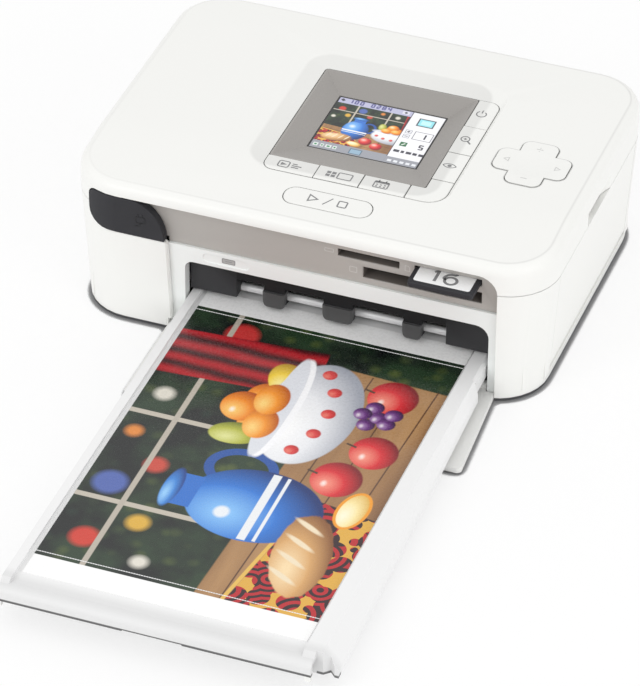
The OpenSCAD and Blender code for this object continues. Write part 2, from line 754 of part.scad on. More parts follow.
module card_panel() color([0.66, 0.645, 0.63]) at_home() difference() {
    right = frame_right - panel_gap;
    along_y(panel_y, panel_y + panel_t) polygon([[cap_right - 14, cap_z + 0.3],
        [frame_left + 0.1, cap_z + 0.3], [frame_left + 0.1, frame_top + 0.1],
        [right, frame_top + 0.1], [right, lip_z + 1.4], [cap_right - 14, lip_z + 1.4]]);
    // Pocket that the card reader sits in, and the slots through the skin before it
    box(reader_left - 0.1, reader_right + 0.1, panel_y + skin_t, panel_y + panel_t + 1,
        reader_low - 0.1, board_z);
    box(cf_x, cf_x + cf_w, panel_y - 1, panel_y + panel_t + 1, cf_z, cf_z + cf_h);
    box(stick_x, stick_x + stick_w, panel_y - 1, panel_y + panel_t + 1, slot_top - stick_h,
        slot_top);
    box(card_x - card_gap, card_x + card_w + card_gap, panel_y - 1, panel_y + panel_t + 1,
        card_z - card_gap, slot_top);
}

module card_reader() color([0.16, 0.16, 0.17]) at_home() difference() {
    box(reader_left, reader_right, reader_y, reader_y + reader_d, reader_low, board_z - 0.1);
    box(cf_x, cf_x + cf_w, reader_y - 1, reader_y + cf_d, cf_z, cf_z + cf_h);
    box(stick_x, stick_x + stick_w, reader_y - 1, reader_y + stick_d, slot_top - stick_h,
        slot_top);
    box(card_x - card_gap, card_x + card_w + card_gap, reader_y - 1,
        panel_y - card_out + card_l + card_gap, card_z - card_gap, slot_top);
}

// Flat card with one cut corner at its inner end
module memory_card() color([0.14, 0.14, 0.15]) at_home() {
    cut = 3.6;
    front = panel_y - card_out;
    translate([card_x, front, card_z]) linear_extrude(card_t) difference() {
        polygon([[0.8, 0], [card_w - 0.8, 0], [card_w, 0.8], [card_w, card_l - cut],
            [card_w - cut, card_l], [0, card_l], [0, 0.8]]);
        translate([-E, 9]) square([0.7 + E, 5]);
    }
}

// White frame round the paper opening; its two legs hold the slot door's rod
module front_frame() color([0.955, 0.955, 0.94]) at_home() difference() {
    along_y(frame_y, frame_y + frame_d) difference() {
        translate([frame_left + panel_gap, case_foot_z])
            square([frame_right - frame_left - 2 * panel_gap, frame_top - case_foot_z]);
        polygon(concat([[mouth_left, 0], [mouth_right, 0]],
            arc(mouth_right - 5, mouth_top - 5, 5, 0, 90, 6),
            arc(mouth_left + 3, mouth_top - 3, 3, 90, 180, 5)));
    }
    bar_x(frame_left - 1, frame_right + 1, door_rod_y, door_rod_z, door_pin_r + run_gap);
    // Recessed oval with an icon field over the opening
    along_y(frame_y - 1, frame_y + 0.4) translate([frame_left + 22,
        (mouth_top + frame_top) / 2])
        round_rect(17.4, 3.6, 1.7);
}

// Dark guide: two side blocks and three fingers under one beam
fingers = [[-27.5, -19.7], [-5, 5.8], [24.8, 31.4]];
module paper_guide() color([0.2, 0.2, 0.21]) at_home() difference() {
    front = notch_y + 0.2;
    beam_back = exit_y - sleeve_r - 0.2;
    arch_z = exit_z + sleeve_r + 0.4;
    beam_z = arch_z + 4;
    finger_round = 2.2;
    block_top = mouth_top + 3.4;
    left = mouth_left + panel_gap;
    right = mouth_right - panel_gap;
    union() {
        box(left, left + 17.5, front, exit_y + 5, finger_z, block_top);
        box(right - 16.8, right, front, exit_y + 5, finger_z, block_top);
        box(left, right, front, beam_back, beam_z, block_top);
        // Each finger arches over its rubber sleeve
        for (f = fingers) along_x(print_mid + f[0], print_mid + f[1]) polygon(concat(
            arc(front + finger_round, finger_z + finger_round, finger_round, 180, 270, 5),
            [[beam_back - 0.6, finger_z], [beam_back, finger_z + 0.6], [beam_back, arch_z],
            [exit_y + 1, arch_z], [exit_y + 1, beam_z + 1], [front, beam_z + 1]]));
    }
    bar_x(left - 1, right + 1, exit_y, exit_z, shaft_r + 0.3);
}

module slot_door() color([0.93, 0.93, 0.915]) at_home() {
    left = frame_left + 0.8;
    right = frame_right - 0.3;
    low = 0.4;
    near = front_y - door_reach;
    flare = 2.8;
    tip_r = 1.8;
    difference() {
        union() {
            translate([0, 0, low]) linear_extrude(door_t) polygon(concat(
                [[left, frame_y - 0.3]], arc(left + tip_r, near + tip_r, tip_r, 180, 270, 5),
                arc(right + flare - tip_r, near + tip_r, tip_r, 270, 360, 5),
                [[right, frame_y - 0.3]]));
            box(mouth_left + 0.4, mouth_right - 0.4, frame_y - 0.4, door_rod_y, low, low + door_t);
            bar_x(mouth_left + 0.4, mouth_right - 0.4, door_rod_y, door_rod_z, 1.6);
        }
        bar_x(frame_left, frame_right, door_rod_y, door_rod_z, door_pin_r);
        // Shallow panel on the inner face
        box(left + 6, right - 6, near + 6, frame_y - 4, low + door_t - 0.3, low + door_t + 1);
    }
}

module door_rod() color([0.7, 0.7, 0.72]) at_home()
    bar_x(frame_left + 1, frame_right - 1, door_rod_y, door_rod_z, door_pin_r);

//-- side cover and cable cap -----------------------------------------------------------

module side_cover() color([0.955, 0.955, 0.94]) at_home() difference() {
    top = seam_z - panel_gap / 2;
    half = cover_w / 2 - panel_gap;
    union() {
        along_y(-half, half) polygon([[side_x(cover_rod_z), cover_rod_z], [side_x(top), top],
            [side_x(top) - wall, top], [side_x(cover_rod_z) - wall, cover_rod_z]]);
        translate([cover_rod_x, half, cover_rod_z]) rotate([90, 0, 0])
            cylinder(h = 2 * half, r = cover_barrel_r);
        // Stiffening ribs and the two latch claws
        rib_low = cover_rod_z + 5.4;
        rib_high = top - 5.6;
        rib_d = 1.6;
        for (y = [-half * 0.7, 0, half * 0.7]) along_y(y - rib_t / 2, y + rib_t / 2) polygon([
            [side_x(rib_low) - wall + E, rib_low], [side_x(rib_high) - wall + E, rib_high],
            [side_x(rib_high) - wall - rib_d, rib_high - 2],
            [side_x(rib_low) - wall - rib_d, rib_low + 2]]);
        claw_low = top - 4.6;
        for (y = [-half / 2, half / 2]) along_y(y - 3, y + 3) polygon([
            [side_x(claw_low) - wall + E, claw_low], [side_x(top) - wall + E, top - 0.3],
            [side_x(top) - wall - 2, top - 0.6], [side_x(top) - wall - 2, top - 1.8],
            [side_x(claw_low) - wall - 0.6, top - 2.4]]);
    }
    translate([cover_rod_x, half + 1, cover_rod_z]) rotate([90, 0, 0])
        cylinder(h = 2 * half + 2, r = cover_pin_r);
}

module cover_rod() color([0.7, 0.7, 0.72]) at_home()
    translate([cover_rod_x, cover_w / 2 + 4, cover_rod_z]) rotate([90, 0, 0])
        cylinder(h = cover_w + 8, r = cover_pin_r);

// Dark cap that wraps round the left front corner
module cable_cap() color([0.24, 0.24, 0.26]) at_home() intersection() {
    translate([0, 0, cap_z - 2]) linear_extrude(lip_z - cap_z + 4) difference() {
        round_rect(body_w + 2 * cap_proud, body_d + 2 * cap_proud, corner_r + cap_proud, $fn = 96);
        round_rect(body_w - 2 * (cap_t - cap_proud), body_d - 2 * (cap_t - cap_proud),
            corner_r - cap_t + cap_proud, $fn = 96);
    }
    along_y(front_y - 5, front_y + 14) cap_outline(0);
}

module cable_drum() color([0.3, 0.3, 0.31]) at_home() {
    reel_x = -half_w + corner_r + 2.5;
    reel_y = front_y + corner_r + 2;
    reel_r = 8.6;
    translate([reel_x, reel_y, base_top + 0.05]) cylinder(h = 32, r = reel_r);
    translate([reel_x, reel_y, base_top + 32]) cylinder(h = 3, r = 3);
    box(reel_x - 8, cap_right - 3, panel_y + panel_t + 0.1, reel_y, base_top + 34, lip_z - 3);
}

//-- cassette and paper ------------------------------------------------------------------

cassette_left = print_left - 4.7;
cassette_right = print_right + 6.4;
tray_right = print_right + 2.4;
tray_left = cassette_left + 0.9;
tray_front = -cassette_front + 3;
stack_z = tray_z - 1 - stack_h - 0.1;
stack_rear = -cassette_rear - 2;
plate_front = stack_rear - 58;
lift_t = 0.6;
lid_z = tray_z - 1;
lid_rear = -cassette_rear - 17;
rail_z = tray_z + 1.8;

module cassette_tray() color([0.93, 0.94, 0.945]) at_home() {
    floor_z = cassette_z + 1.2;
    difference() {
        box(tray_left, tray_right, tray_front, -cassette_rear, cassette_z, lid_z - 0.05);
        box(print_left - 0.5, print_right + 0.5, stack_rear - print_l - 0.5, stack_rear + 0.4,
            floor_z, lid_z + 1);
        // Hollow in front of the stack
        box(print_left - 0.5, print_right + 0.5, tray_front + cassette_wall,
            stack_rear - print_l - 2, floor_z, lid_z + 1);
    }
    // Ledge that carries the stack in front of the lift plate
    box(print_left - 0.6, print_right + 0.6, stack_rear - print_l - 0.6, plate_front - 1,
        floor_z - E, stack_z);
}

// Lid that receives the prints, with a low left rail and a broad sloped right rail
module cassette_lid() color([0.93, 0.94, 0.945]) at_home() {
    front = -cassette_front;
    flange_rear = front_y - 8;
    flange_front = front + 5.5;
    flare = 4.9;
    front_r = 2.5;
    rim = tray_z + 0.3;
    inner_right = mouth_right - 0.7;
    grip_w = 21;
    difference() {
        union() {
            box(cassette_left, cassette_right - 1.2, front + front_r, lid_rear, lid_z, tray_z);
            // Front wall, rounded over into the lid
            along_x(cassette_left, cassette_right - 1.2) polygon(concat(
                [[front + cassette_wall, apron_z], [front, apron_z]],
                arc(front + front_r, rim - front_r, front_r, 180, 90, 6),
                [[front + front_r + 1.6, rim], [front + front_r + 2.6, tray_z - E],
                [front + front_r + 2.6, lid_z], [front + cassette_wall, lid_z]]));
            // Left rail and its skirt, and the right rail
            for (x = [[cassette_left, cassette_left + 3.2], [print_right + 1.1, print_right + 5.2]])
                along_x(x[0], x[1]) polygon([[front + 1.5, lid_z], [front + 5, rail_z],
                    [lid_rear, rail_z], [lid_rear, lid_z]]);
            box(cassette_left, tray_left - 0.1, front + 1, lid_rear, cassette_z + 0.4, lid_z + E);
            // Narrow part of the right skirt inside the mouth
            along_y(flange_rear, lid_rear) polygon([[tray_right + 0.1, cassette_z + 3],
                [inner_right, cassette_z + 3], [inner_right, rail_z - 1.2],
                [inner_right - 1.2, rail_z], [tray_right + 0.1, rail_z]]);
            // Sloped flange in front of the body, wider towards its front end
            hull() {
                along_y(flange_rear - 0.01, flange_rear) flange_section(0);
                along_y(flange_front, flange_front + 0.01) flange_section(flare);
            }
        }
        // Grip in the middle of the front wall's lower edge
        box(print_mid - grip_w / 2, print_mid + grip_w / 2, front - 1, front + cassette_wall + 1,
            apron_z - 1, apron_z + 0.8);
        // Notch between the flange and the front wall
        translate([print_right + 9.5, front + 4.6, 0]) rotate(45) translate([-2, -2, 0])
            cube([4, 4, 20]);
        // Stack ventilation and finger cut-outs at the rear edge
        box(print_left + 12, print_left + 26, lid_rear - 5, lid_rear + 1, lid_z - 1, tray_z + 1);
        box(print_right - 26, print_right - 12, lid_rear - 5, lid_rear + 1, lid_z - 1, tray_z + 1);
    }
}

module flange_section(flare) polygon([[tray_right + 0.1, cassette_z + 0.2],
    [cassette_right + 1.5 + flare, cassette_z + 0.2], [cassette_right + 1.5 + flare, cassette_z + 3.4],
    [cassette_right + flare * 0.2, rail_z], [tray_right + 0.1, rail_z]]);

module lift_plate() color([0.75, 0.76, 0.78]) at_home() difference() {
    box(print_left + 0.6, print_right - 0.6, plate_front, stack_rear, stack_z - lift_t - 0.05,
        stack_z - 0.05);
    // Two windows that save weight
    hole_in = 25;
    hole_w = 16;
    for (x = [print_left + hole_in, print_right - hole_in - hole_w])
        box(x, x + hole_w, plate_front + 12, stack_rear - 18, stack_z - 2, stack_z + 1);
}

module lift_springs() color([0.7, 0.7, 0.72]) at_home() {
    low = cassette_z + 1.22;
    rise = stack_z - lift_t - 0.1 - low;
    for (x = [print_left + 12, print_right - 18]) along_x(x, x + 6) polygon([
        [stack_rear - 18, low], [stack_rear - 16, low], [stack_rear - 11, low + rise - 0.2],
        [stack_rear - 6, low], [stack_rear - 4, low], [stack_rear - 4, low + 0.2],
        [stack_rear - 6, low + 0.2], [stack_rear - 11, low + rise], [stack_rear - 16, low + 0.2],
        [stack_rear - 18, low + 0.2]]);
}

module paper_stack() color([0.97, 0.97, 0.96]) at_home()
    box(print_left, print_right, stack_rear - print_l, stack_rear, stack_z, stack_z + stack_h);

// Print with a tear-off margin at each end, marked by a scored line
module print() color([0.5, 0.35, 0.35]) at_home() difference() {
    box(print_left, print_right, print_rear - print_l, print_rear, tray_z, tray_z + print_t);
    for (y = [print_rear - margin_l - bleed, print_rear - margin_l - picture_l + bleed])
        box(print_left - 1, print_right + 1, y - 0.15, y + 0.15, tray_z + print_t - 0.08, tray_z + 1);
}

//-- printing unit ---------------------------------------------------------------------------

shaft_left = gear_x - 0.4;
shaft_right = right_plate_x + plate_t + 0.6;

module exit_shaft() color([0.75, 0.75, 0.77]) at_home()
    bar_x(shaft_left, shaft_right, exit_y, exit_z, shaft_r);

module sleeves(mid, width, y, z, r) difference() {
    bar_x(mid - width / 2, mid + width / 2, y, z, r);
    bar_x(mid - width, mid + width, y, z, shaft_r);
}

module exit_sleeves() color([0.22, 0.22, 0.22]) at_home()
    for (f = fingers) sleeves(print_mid + (f[0] + f[1]) / 2, (f[1] - f[0]) * 0.8, exit_y, exit_z, sleeve_r);

module exit_gear() color([0.9, 0.89, 0.84]) at_home()
    gear_at(gear_x, exit_y, exit_z, roller_module, EXIT_TEETH, gear_w, shaft_r, 0);

module pickup_shaft() color([0.75, 0.75, 0.77]) at_home()
    bar_x(shaft_left, shaft_right, pickup_y, pickup_z, shaft_r);

module pickup_sleeves() color([0.22, 0.22, 0.22]) at_home()
    for (side = [-1, 1]) sleeves(print_mid + side * 19, 11, pickup_y, pickup_z, pickup_r);

module pickup_gear() color([0.9, 0.89, 0.84]) at_home()
    gear_at(gear_x, pickup_y, pickup_z, roller_module, PICKUP_TEETH, gear_w, shaft_r, pickup_phase);

module grip_roller() color([0.78, 0.78, 0.8]) at_home() {
    bar_x(wheel_x - 0.4, shaft_right, grip_y, grip_z, shaft_r);
    bar_x(print_left - 1, print_right + 1, grip_y, grip_z, grip_r);
}

// Two-step gear: the wheel takes the motor's turn, the small gear drives the train
module grip_gear() color([0.9, 0.89, 0.84]) at_home() {
    gear_at(gear_x, grip_y, grip_z, roller_module, GRIP_TEETH, gear_w, shaft_r, grip_phase);
    gear_at(wheel_x, grip_y, grip_z, motor_module, WHEEL_TEETH, wheel_w, shaft_r, 0);
    difference() {
        bar_x(wheel_x + wheel_w - E, gear_x + E, grip_y, grip_z, 3);
        bar_x(wheel_x, gear_x + 1, grip_y, grip_z, shaft_r);
    }
}

module pinch_roller() color([0.25, 0.25, 0.25]) at_home() {
    bar_x(left_plate_x - 0.4, shaft_right, grip_y, pinch_z, shaft_r);
    bar_x(print_left + 1, print_right - 1, grip_y, pinch_z, pinch_r);
}

module platen_shaft() color([0.75, 0.75, 0.77]) at_home()
    bar_x(left_plate_x - 0.4, shaft_right, head_y, platen_z, shaft_r);

module platen_sleeve() color([0.2, 0.2, 0.2]) at_home()
    sleeves(print_mid, print_w + 4, head_y, platen_z, platen_r);

head_left = inner_left + 6.6;
head_right = right_plate_x - 5;
arm_t = 1.2;

// Heater bar under a finned aluminium block
module print_head() color([0.8, 0.81, 0.82]) at_home() {
    block_left = cartridge_left + 2;
    block_right = cartridge_right - 2;
    tip = path_z + print_t + 0.6;
    along_x(block_left, block_right) polygon([[head_y - 1, tip], [head_y + 1, tip],
        [head_y + 5, tip + 4], [head_y + 5, head_pivot_z - 2], [head_y - 5, head_pivot_z - 2],
        [head_y - 5, tip + 4]]);
    fin_step = (block_right - block_left - 13) / 10;
    for (i = [0 : 10]) box(block_left + 6 + i * fin_step, block_left + 8 + i * fin_step,
        head_y - 7.5, head_y + 7.5, tip + 8, head_pivot_z - 2);
    box(head_left, head_right, head_y - 4, head_y + 4, head_pivot_z - 2 - E, head_pivot_z + 1);
}

module head_arms() color([0.72, 0.73, 0.75]) at_home() for (x = [head_left - arm_t, head_right])
    difference() {
        along_x(x, x + arm_t) polygon([[head_y - 6, head_pivot_z - 1.6],
            [head_y - 6, head_pivot_z + 1.6], [head_pivot_y, head_pivot_z + 3],
            [head_pivot_y + 3, head_pivot_z], [head_pivot_y, head_pivot_z - 3],
            [head_pivot_y - 6, head_pivot_z - 1.6]]);
        bar_x(x - 1, x + arm_t + 1, head_pivot_y, head_pivot_z, shaft_r);
    }

module head_rod() color([0.75, 0.75, 0.77]) at_home()
    bar_x(left_plate_x - 0.4, shaft_right, head_pivot_y, head_pivot_z, shaft_r);

journal_r = 2;
end_t = 1.5;

// Cartridge: two slotted tubes held apart by end plates
module cartridge_case() color([0.85, 0.85, 0.86]) at_home() difference() {
    union() {
        for (y = [supply_y, takeup_y]) bar_x(cartridge_left, cartridge_right, y, spool_z, tube_r);
        for (x = [cartridge_left, cartridge_right - end_t])
            box(x, x + end_t, supply_y, takeup_y, spool_z - 4, spool_z + 5);
        // Grip at the cover's end
        box(cartridge_right - E, cartridge_right + 8, head_y - 9, head_y + 9, spool_z - 1,
            spool_z + 1);
        box(cartridge_right - end_t, cartridge_right + E, head_y - 9, head_y + 9, spool_z - 4,
            spool_z + 5);
    }
    for (y = [supply_y, takeup_y]) {
        bar_x(cartridge_left + end_t, cartridge_right - end_t, y, spool_z, tube_r - 1);
        bar_x(cartridge_left - 1, cartridge_right + 1, y, spool_z, journal_r + run_gap);
    }
    // Mouths towards the print head
    box(cartridge_left + end_t, cartridge_right - end_t, supply_y, supply_y + tube_r + 1,
        spool_z - tube_r - 1, spool_z - 4);
    box(cartridge_left + end_t, cartridge_right - end_t, takeup_y - tube_r - 1, takeup_y,
        spool_z - tube_r - 1, spool_z - 4);
}

module spool(y, wound_r) {
    bar_x(cartridge_left - 0.5, cartridge_right + 0.5, y, spool_z, journal_r);
    bar_x(cartridge_left + end_t + 0.3, cartridge_right - end_t - 0.3, y, spool_z, hub_r);
    bar_x(print_left, print_right, y, spool_z, wound_r);
}
supply_wound = tube_r - 1.8;
takeup_wound = tube_r - 4.2;
hub_r = 3.6;

module supply_spool() color([0.25, 0.2, 0.3]) at_home() spool(supply_y, supply_wound);
module takeup_spool() color([0.3, 0.25, 0.3]) at_home() spool(takeup_y, takeup_wound);

// Ribbon web between the spools, passing under the print head
module ink_ribbon() color([0.85, 0.75, 0.2]) at_home() {
    web_t = 0.15;
    under = path_z + print_t + 0.25;
    leave = spool_z - supply_wound - 0.3;
    arrive = spool_z - max(takeup_wound, hub_r) - 0.3;
    along_x(print_left + 0.5, print_right - 0.5) polygon([[supply_y, leave],
        [head_y - 3, under], [head_y + 3, under], [takeup_y, arrive],
        [takeup_y, arrive + web_t], [head_y + 3, under + web_t], [head_y - 3, under + web_t],
        [supply_y, leave + web_t]]);
}

plate_front_y = front_y + 9;
plate_rear_y = half_d - 7;
notch_top = base_top + boss_h + 0.6;
plate_front_top = cf_z - 8.6;

module plate_section(with_bay) difference() {
    // The lower corners leave room for the case's screw bosses
    polygon([[plate_front_y, notch_top], [-screw_y + boss_r + 1, notch_top],
        [-screw_y + boss_r + 1, base_top + 0.05], [screw_y - boss_r - 1, base_top + 0.05],
        [screw_y - boss_r - 1, notch_top], [plate_rear_y, notch_top],
        [plate_rear_y, plate_top], [-20, plate_top], [-26, plate_front_top],
        [plate_front_y, plate_front_top]]);
    for (p = [[exit_y, exit_z], [pickup_y, pickup_z], [grip_y, grip_z], [grip_y, pinch_z],
        [head_y, platen_z], [head_pivot_y, head_pivot_z]])
        translate(p) circle(shaft_r + run_gap);
    for (p = tie_places) translate(p) circle(tie_r);
    if (with_bay) {
        for (y = [supply_y, takeup_y]) translate([y, spool_z]) circle(tube_r + 0.5);
        translate([supply_y, path_z + 0.2]) square([2 * spool_reach, spool_z + 7 - path_z]);
    }
}
tie_r = 2;
tie_places = [[-8, 7.5], [45, 9], [52, 30]];

module left_plate() color([0.74, 0.75, 0.77]) at_home()
    along_x(left_plate_x, left_plate_x + plate_t) plate_section(false);

module right_plate() color([0.74, 0.75, 0.77]) at_home()
    along_x(right_plate_x, right_plate_x + plate_t) plate_section(true);

module tie_bars() color([0.7, 0.71, 0.73]) at_home() for (p = tie_places)
    bar_x(left_plate_x, right_plate_x + plate_t, p[0], p[1], tie_r);

module main_motor() color([0.6, 0.6, 0.62]) at_home() {
    motor_r = 9;
    flange_t = 1;
    flange_x = wheel_x - 1.4;
    bar_x(flange_x - 19, flange_x, motor_y, motor_z, motor_r);
    difference() {
        box(flange_x - flange_t, flange_x, motor_y - motor_r, motor_y + motor_r + 2,
            motor_z - motor_r, motor_z + motor_r + 2);
        bar_x(flange_x - 2, flange_x + 1, motor_y, motor_z, 1);
    }
    for (p = [[motor_y + 8.5, motor_z + 8.5], [motor_y + 8.5, motor_z - 6]])
        bar_x(flange_x - E, left_plate_x, p[0], p[1], 1.5);
}

module motor_pinion() color([0.85, 0.7, 0.35]) at_home() {
    gear_at(wheel_x - 0.6, motor_y, motor_z, motor_module, PINION_TEETH, wheel_w + 1.2, 0.5,
        pinion_phase);
    bar_x(wheel_x - 1.3, wheel_x + wheel_w + 0.4, motor_y, motor_z, 0.6);
}

module main_board() color([0.12, 0.38, 0.2]) at_home() {
    low = plate_top + 0.05;
    chip_z = low + board_t - 0.1;
    box(left_plate_x, right_plate_x + plate_t, head_y - 25, plate_rear_y, low, chip_z + 0.05);
    // Three chips and two capacitors; each chip is [x, y, side]
    for (p = [[print_mid - 30, head_y, 14], [print_mid - 4, head_y + 20, 10],
        [print_mid + 29, head_y, 12]])
        translate([p[0], p[1], chip_z]) cube([p[2], p[2], 1.2]);
    for (x = [inner_left + 8, inner_left + 16])
        translate([x, head_y + 29, chip_z]) cylinder(h = 3, r = 3);
}

// Square inlet block with a round well and its centre pin
module power_inlet() color([0.12, 0.12, 0.12]) at_home() {
    well_r = 2.9;
    well_d = 9;
    difference() {
        box(inlet_x - inlet_w / 2, inlet_x + inlet_w / 2, half_d - 13, half_d - 0.4,
            inlet_z - inlet_w / 2, inlet_z + inlet_w / 2);
        translate([inlet_x, half_d, inlet_z]) rotate([90, 0, 0]) cylinder(h = well_d + 0.4, r = well_r);
    }
    translate([inlet_x, half_d - 1.5, inlet_z]) rotate([90, 0, 0]) cylinder(h = well_d, r = 0.9);
    box(inlet_x - 3, inlet_x + 3, half_d - 13, half_d - 9, base_top + 0.05, inlet_z);
}

base_plate();
rubber_feet();
lower_case();
top_cover();
display_bezel();
display_panel();
key_power();
key_zoom();
key_eye();
key_mode();
key_layout();
key_date();
key_start();
key_corner();
cross_key();
cross_pivot();
key_board();
card_panel();
card_reader();
memory_card();
front_frame();
paper_guide();
slot_door();
door_rod();
side_cover();
cover_rod();
cable_cap();
cable_drum();
cassette_tray();
cassette_lid();
lift_plate();
lift_springs();
paper_stack();
print();
exit_shaft();
exit_sleeves();
exit_gear();
pickup_shaft();
pickup_sleeves();
pickup_gear();
grip_roller();
grip_gear();
pinch_roller();
platen_shaft();
platen_sleeve();
print_head();
head_arms();
head_rod();
cartridge_case();
supply_spool();
takeup_spool();
ink_ribbon();
left_plate();
right_plate();
main_motor();
motor_pinion();
main_board();
power_inlet();
tie_bars();
case_screws();
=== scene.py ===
import json
import math

import bmesh
import bpy
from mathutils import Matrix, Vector
from mathutils.bvhtree import BVHTree


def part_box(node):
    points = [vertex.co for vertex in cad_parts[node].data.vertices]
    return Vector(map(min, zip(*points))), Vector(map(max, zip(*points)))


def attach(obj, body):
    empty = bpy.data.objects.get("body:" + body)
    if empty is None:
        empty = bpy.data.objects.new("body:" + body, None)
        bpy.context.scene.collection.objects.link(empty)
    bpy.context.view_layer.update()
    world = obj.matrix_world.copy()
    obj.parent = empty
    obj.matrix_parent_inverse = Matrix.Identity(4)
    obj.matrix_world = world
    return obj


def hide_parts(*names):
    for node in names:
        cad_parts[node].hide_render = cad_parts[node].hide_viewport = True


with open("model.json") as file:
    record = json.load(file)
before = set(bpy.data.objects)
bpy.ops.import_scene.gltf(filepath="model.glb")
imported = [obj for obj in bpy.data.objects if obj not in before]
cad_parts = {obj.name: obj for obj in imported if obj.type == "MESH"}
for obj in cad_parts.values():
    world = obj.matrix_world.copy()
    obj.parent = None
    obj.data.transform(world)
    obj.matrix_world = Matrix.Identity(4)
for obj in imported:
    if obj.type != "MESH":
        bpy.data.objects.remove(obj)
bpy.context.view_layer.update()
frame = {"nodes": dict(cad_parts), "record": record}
MM = 0.001
X = (1, 0, 0)
Y = (0, 1, 0)
Z = (0, 0, 1)

body_of_node = {}
for body, nodes in frame["record"]["behaviour"]["bodies"].items():
    for node in nodes:
        body_of_node[node] = body


# ---- camera ---------------------------------------------------------------------------

def add_camera():
    camera = bpy.data.objects.new("camera", bpy.data.cameras.new("camera"))
    bpy.context.scene.collection.objects.link(camera)
    camera.data.sensor_fit = "AUTO"
    camera.data.sensor_width = 36.0
    camera.data.lens = 240.37
    camera.data.clip_start = 0.05
    camera.data.clip_end = 50.0
    place = Vector((0.45023, -1.19515, 0.97564))
    target = Vector((0.0173, -0.00626, 0.030))
    back = (place - target).normalized()
    right = Vector((0, 0, 1)).cross(back).normalized()
    up = back.cross(right)
    roll = math.radians(0.45)
    right, up = (right * math.cos(roll) + up * math.sin(roll),
                 up * math.cos(roll) - right * math.sin(roll))
    matrix = camera.matrix_world.copy()
    for row in range(3):
        matrix[row][0] = right[row]
        matrix[row][1] = up[row]
        matrix[row][2] = back[row]
        matrix[row][3] = place[row]
    camera.matrix_world = matrix
    bpy.context.scene.camera = camera


add_camera()


# ---- materials ------------------------------------------------------------------------

class Graph:
    """A node material that is built step by step."""

    def __init__(self, name):
        self.material = bpy.data.materials.new(name)
        self.material.use_nodes = True
        self.tree = self.material.node_tree
        self.tree.nodes.clear()
        self.output = self.node("ShaderNodeOutputMaterial")
        self.shader = self.node("ShaderNodeBsdfPrincipled")
        self.link(self.shader.outputs["BSDF"], self.output.inputs["Surface"])
        self.coord = self.node("ShaderNodeTexCoord").outputs["Object"]
        self._split = None

    def node(self, kind, **settings):
        node = self.tree.nodes.new(kind)
        for key, value in settings.items():
            setattr(node, key, value)
        return node

    def link(self, a, b):
        self.tree.links.new(a, b)

    def put(self, socket, value):
        if isinstance(value, bpy.types.NodeSocket):
            self.link(value, socket)
        elif isinstance(value, (tuple, list)) and len(value) == 3 and socket.type == "RGBA":
            socket.default_value = (*value, 1)
        else:
            socket.default_value = value

    def set(self, **values):
        for key, value in values.items():
            self.put(self.shader.inputs[key.replace("_", " ")], value)

    def math(self, kind, a, b=0.0, clamp=False):
        node = self.node("ShaderNodeMath", operation=kind, use_clamp=clamp)
        self.put(node.inputs[0], a)
        self.put(node.inputs[1], b)
        return node.outputs[0]

    def mix(self, factor, a, b):
        node = self.node("ShaderNodeMix", data_type="RGBA")
        self.put(node.inputs[0], factor)
        self.put(node.inputs[6], a)
        self.put(node.inputs[7], b)
        return node.outputs[2]

    def span(self, value, low, high, to_low, to_high):
        node = self.node("ShaderNodeMapRange")
        for socket, item in zip(node.inputs, (value, low, high, to_low, to_high)):
            self.put(socket, item)
        return node.outputs[0]

    def stretched(self, x, y, z):
        node = self.node("ShaderNodeMapping")
        self.link(self.coord, node.inputs["Vector"])
        node.inputs["Scale"].default_value = (x, y, z)
        return node.outputs[0]

    def noise(self, scale, detail=2.0, vector=None):
        node = self.node("ShaderNodeTexNoise")
        self.link(vector or self.coord, node.inputs["Vector"])
        node.inputs["Scale"].default_value = scale
        node.inputs["Detail"].default_value = detail
        return node.outputs["Fac"]

    def cells(self, scale):
        node = self.node("ShaderNodeTexVoronoi", feature="F1")
        self.link(self.coord, node.inputs["Vector"])
        node.inputs["Scale"].default_value = scale
        return node

    def bump(self, height, strength, distance):
        node = self.node("ShaderNodeBump")
        node.inputs["Strength"].default_value = strength
        node.inputs["Distance"].default_value = distance
        self.link(height, node.inputs["Height"])
        self.link(node.outputs[0], self.shader.inputs["Normal"])

    def xyz(self):
        """The place on the surface, in millimetres of the part's frame."""
        if self._split is None:
            node = self.node("ShaderNodeSeparateXYZ")
            self.link(self.coord, node.inputs[0])
            self._split = [self.math("MULTIPLY", node.outputs[i], 1 / MM) for i in range(3)]
        return self._split

    def length(self, a, b):
        return self.math("SQRT", self.math("ADD", self.math("MULTIPLY", a, a),
                                           self.math("MULTIPLY", b, b)))

    def past(self, value, middle, reach):
        """How far the value lies beyond the reach on either side of the middle."""
        off = self.math("ABSOLUTE", self.math("SUBTRACT", value, middle))
        return self.math("SUBTRACT", off, reach)

    def outline(self, cx, cy, w, h, r):
        """Distance in millimetres from a rounded oblong seen from above; below 0 inside."""
        x, y, _ = self.xyz()
        u = self.past(x, cx, w / 2 - r)
        v = self.past(y, cy, h / 2 - r)
        far = self.length(self.math("MAXIMUM", u, 0.0), self.math("MAXIMUM", v, 0.0))
        near = self.math("MINIMUM", self.math("MAXIMUM", u, v), 0.0)
        return self.math("SUBTRACT", self.math("ADD", far, near), r)

    def shade(self, mask, colour, k):
        """The colour, made k times as bright where the mask is 1."""
        return self.mix(mask, colour, self.scaled(colour, k))

    def scaled(self, colour, k):
        node = self.node("ShaderNodeVectorMath", operation="SCALE")
        self.link(colour, node.inputs[0])
        self.put(node.inputs[3], k)
        return node.outputs[0]


def tint(colour, k):
    return tuple(min(1.0, c * k) for c in colour)


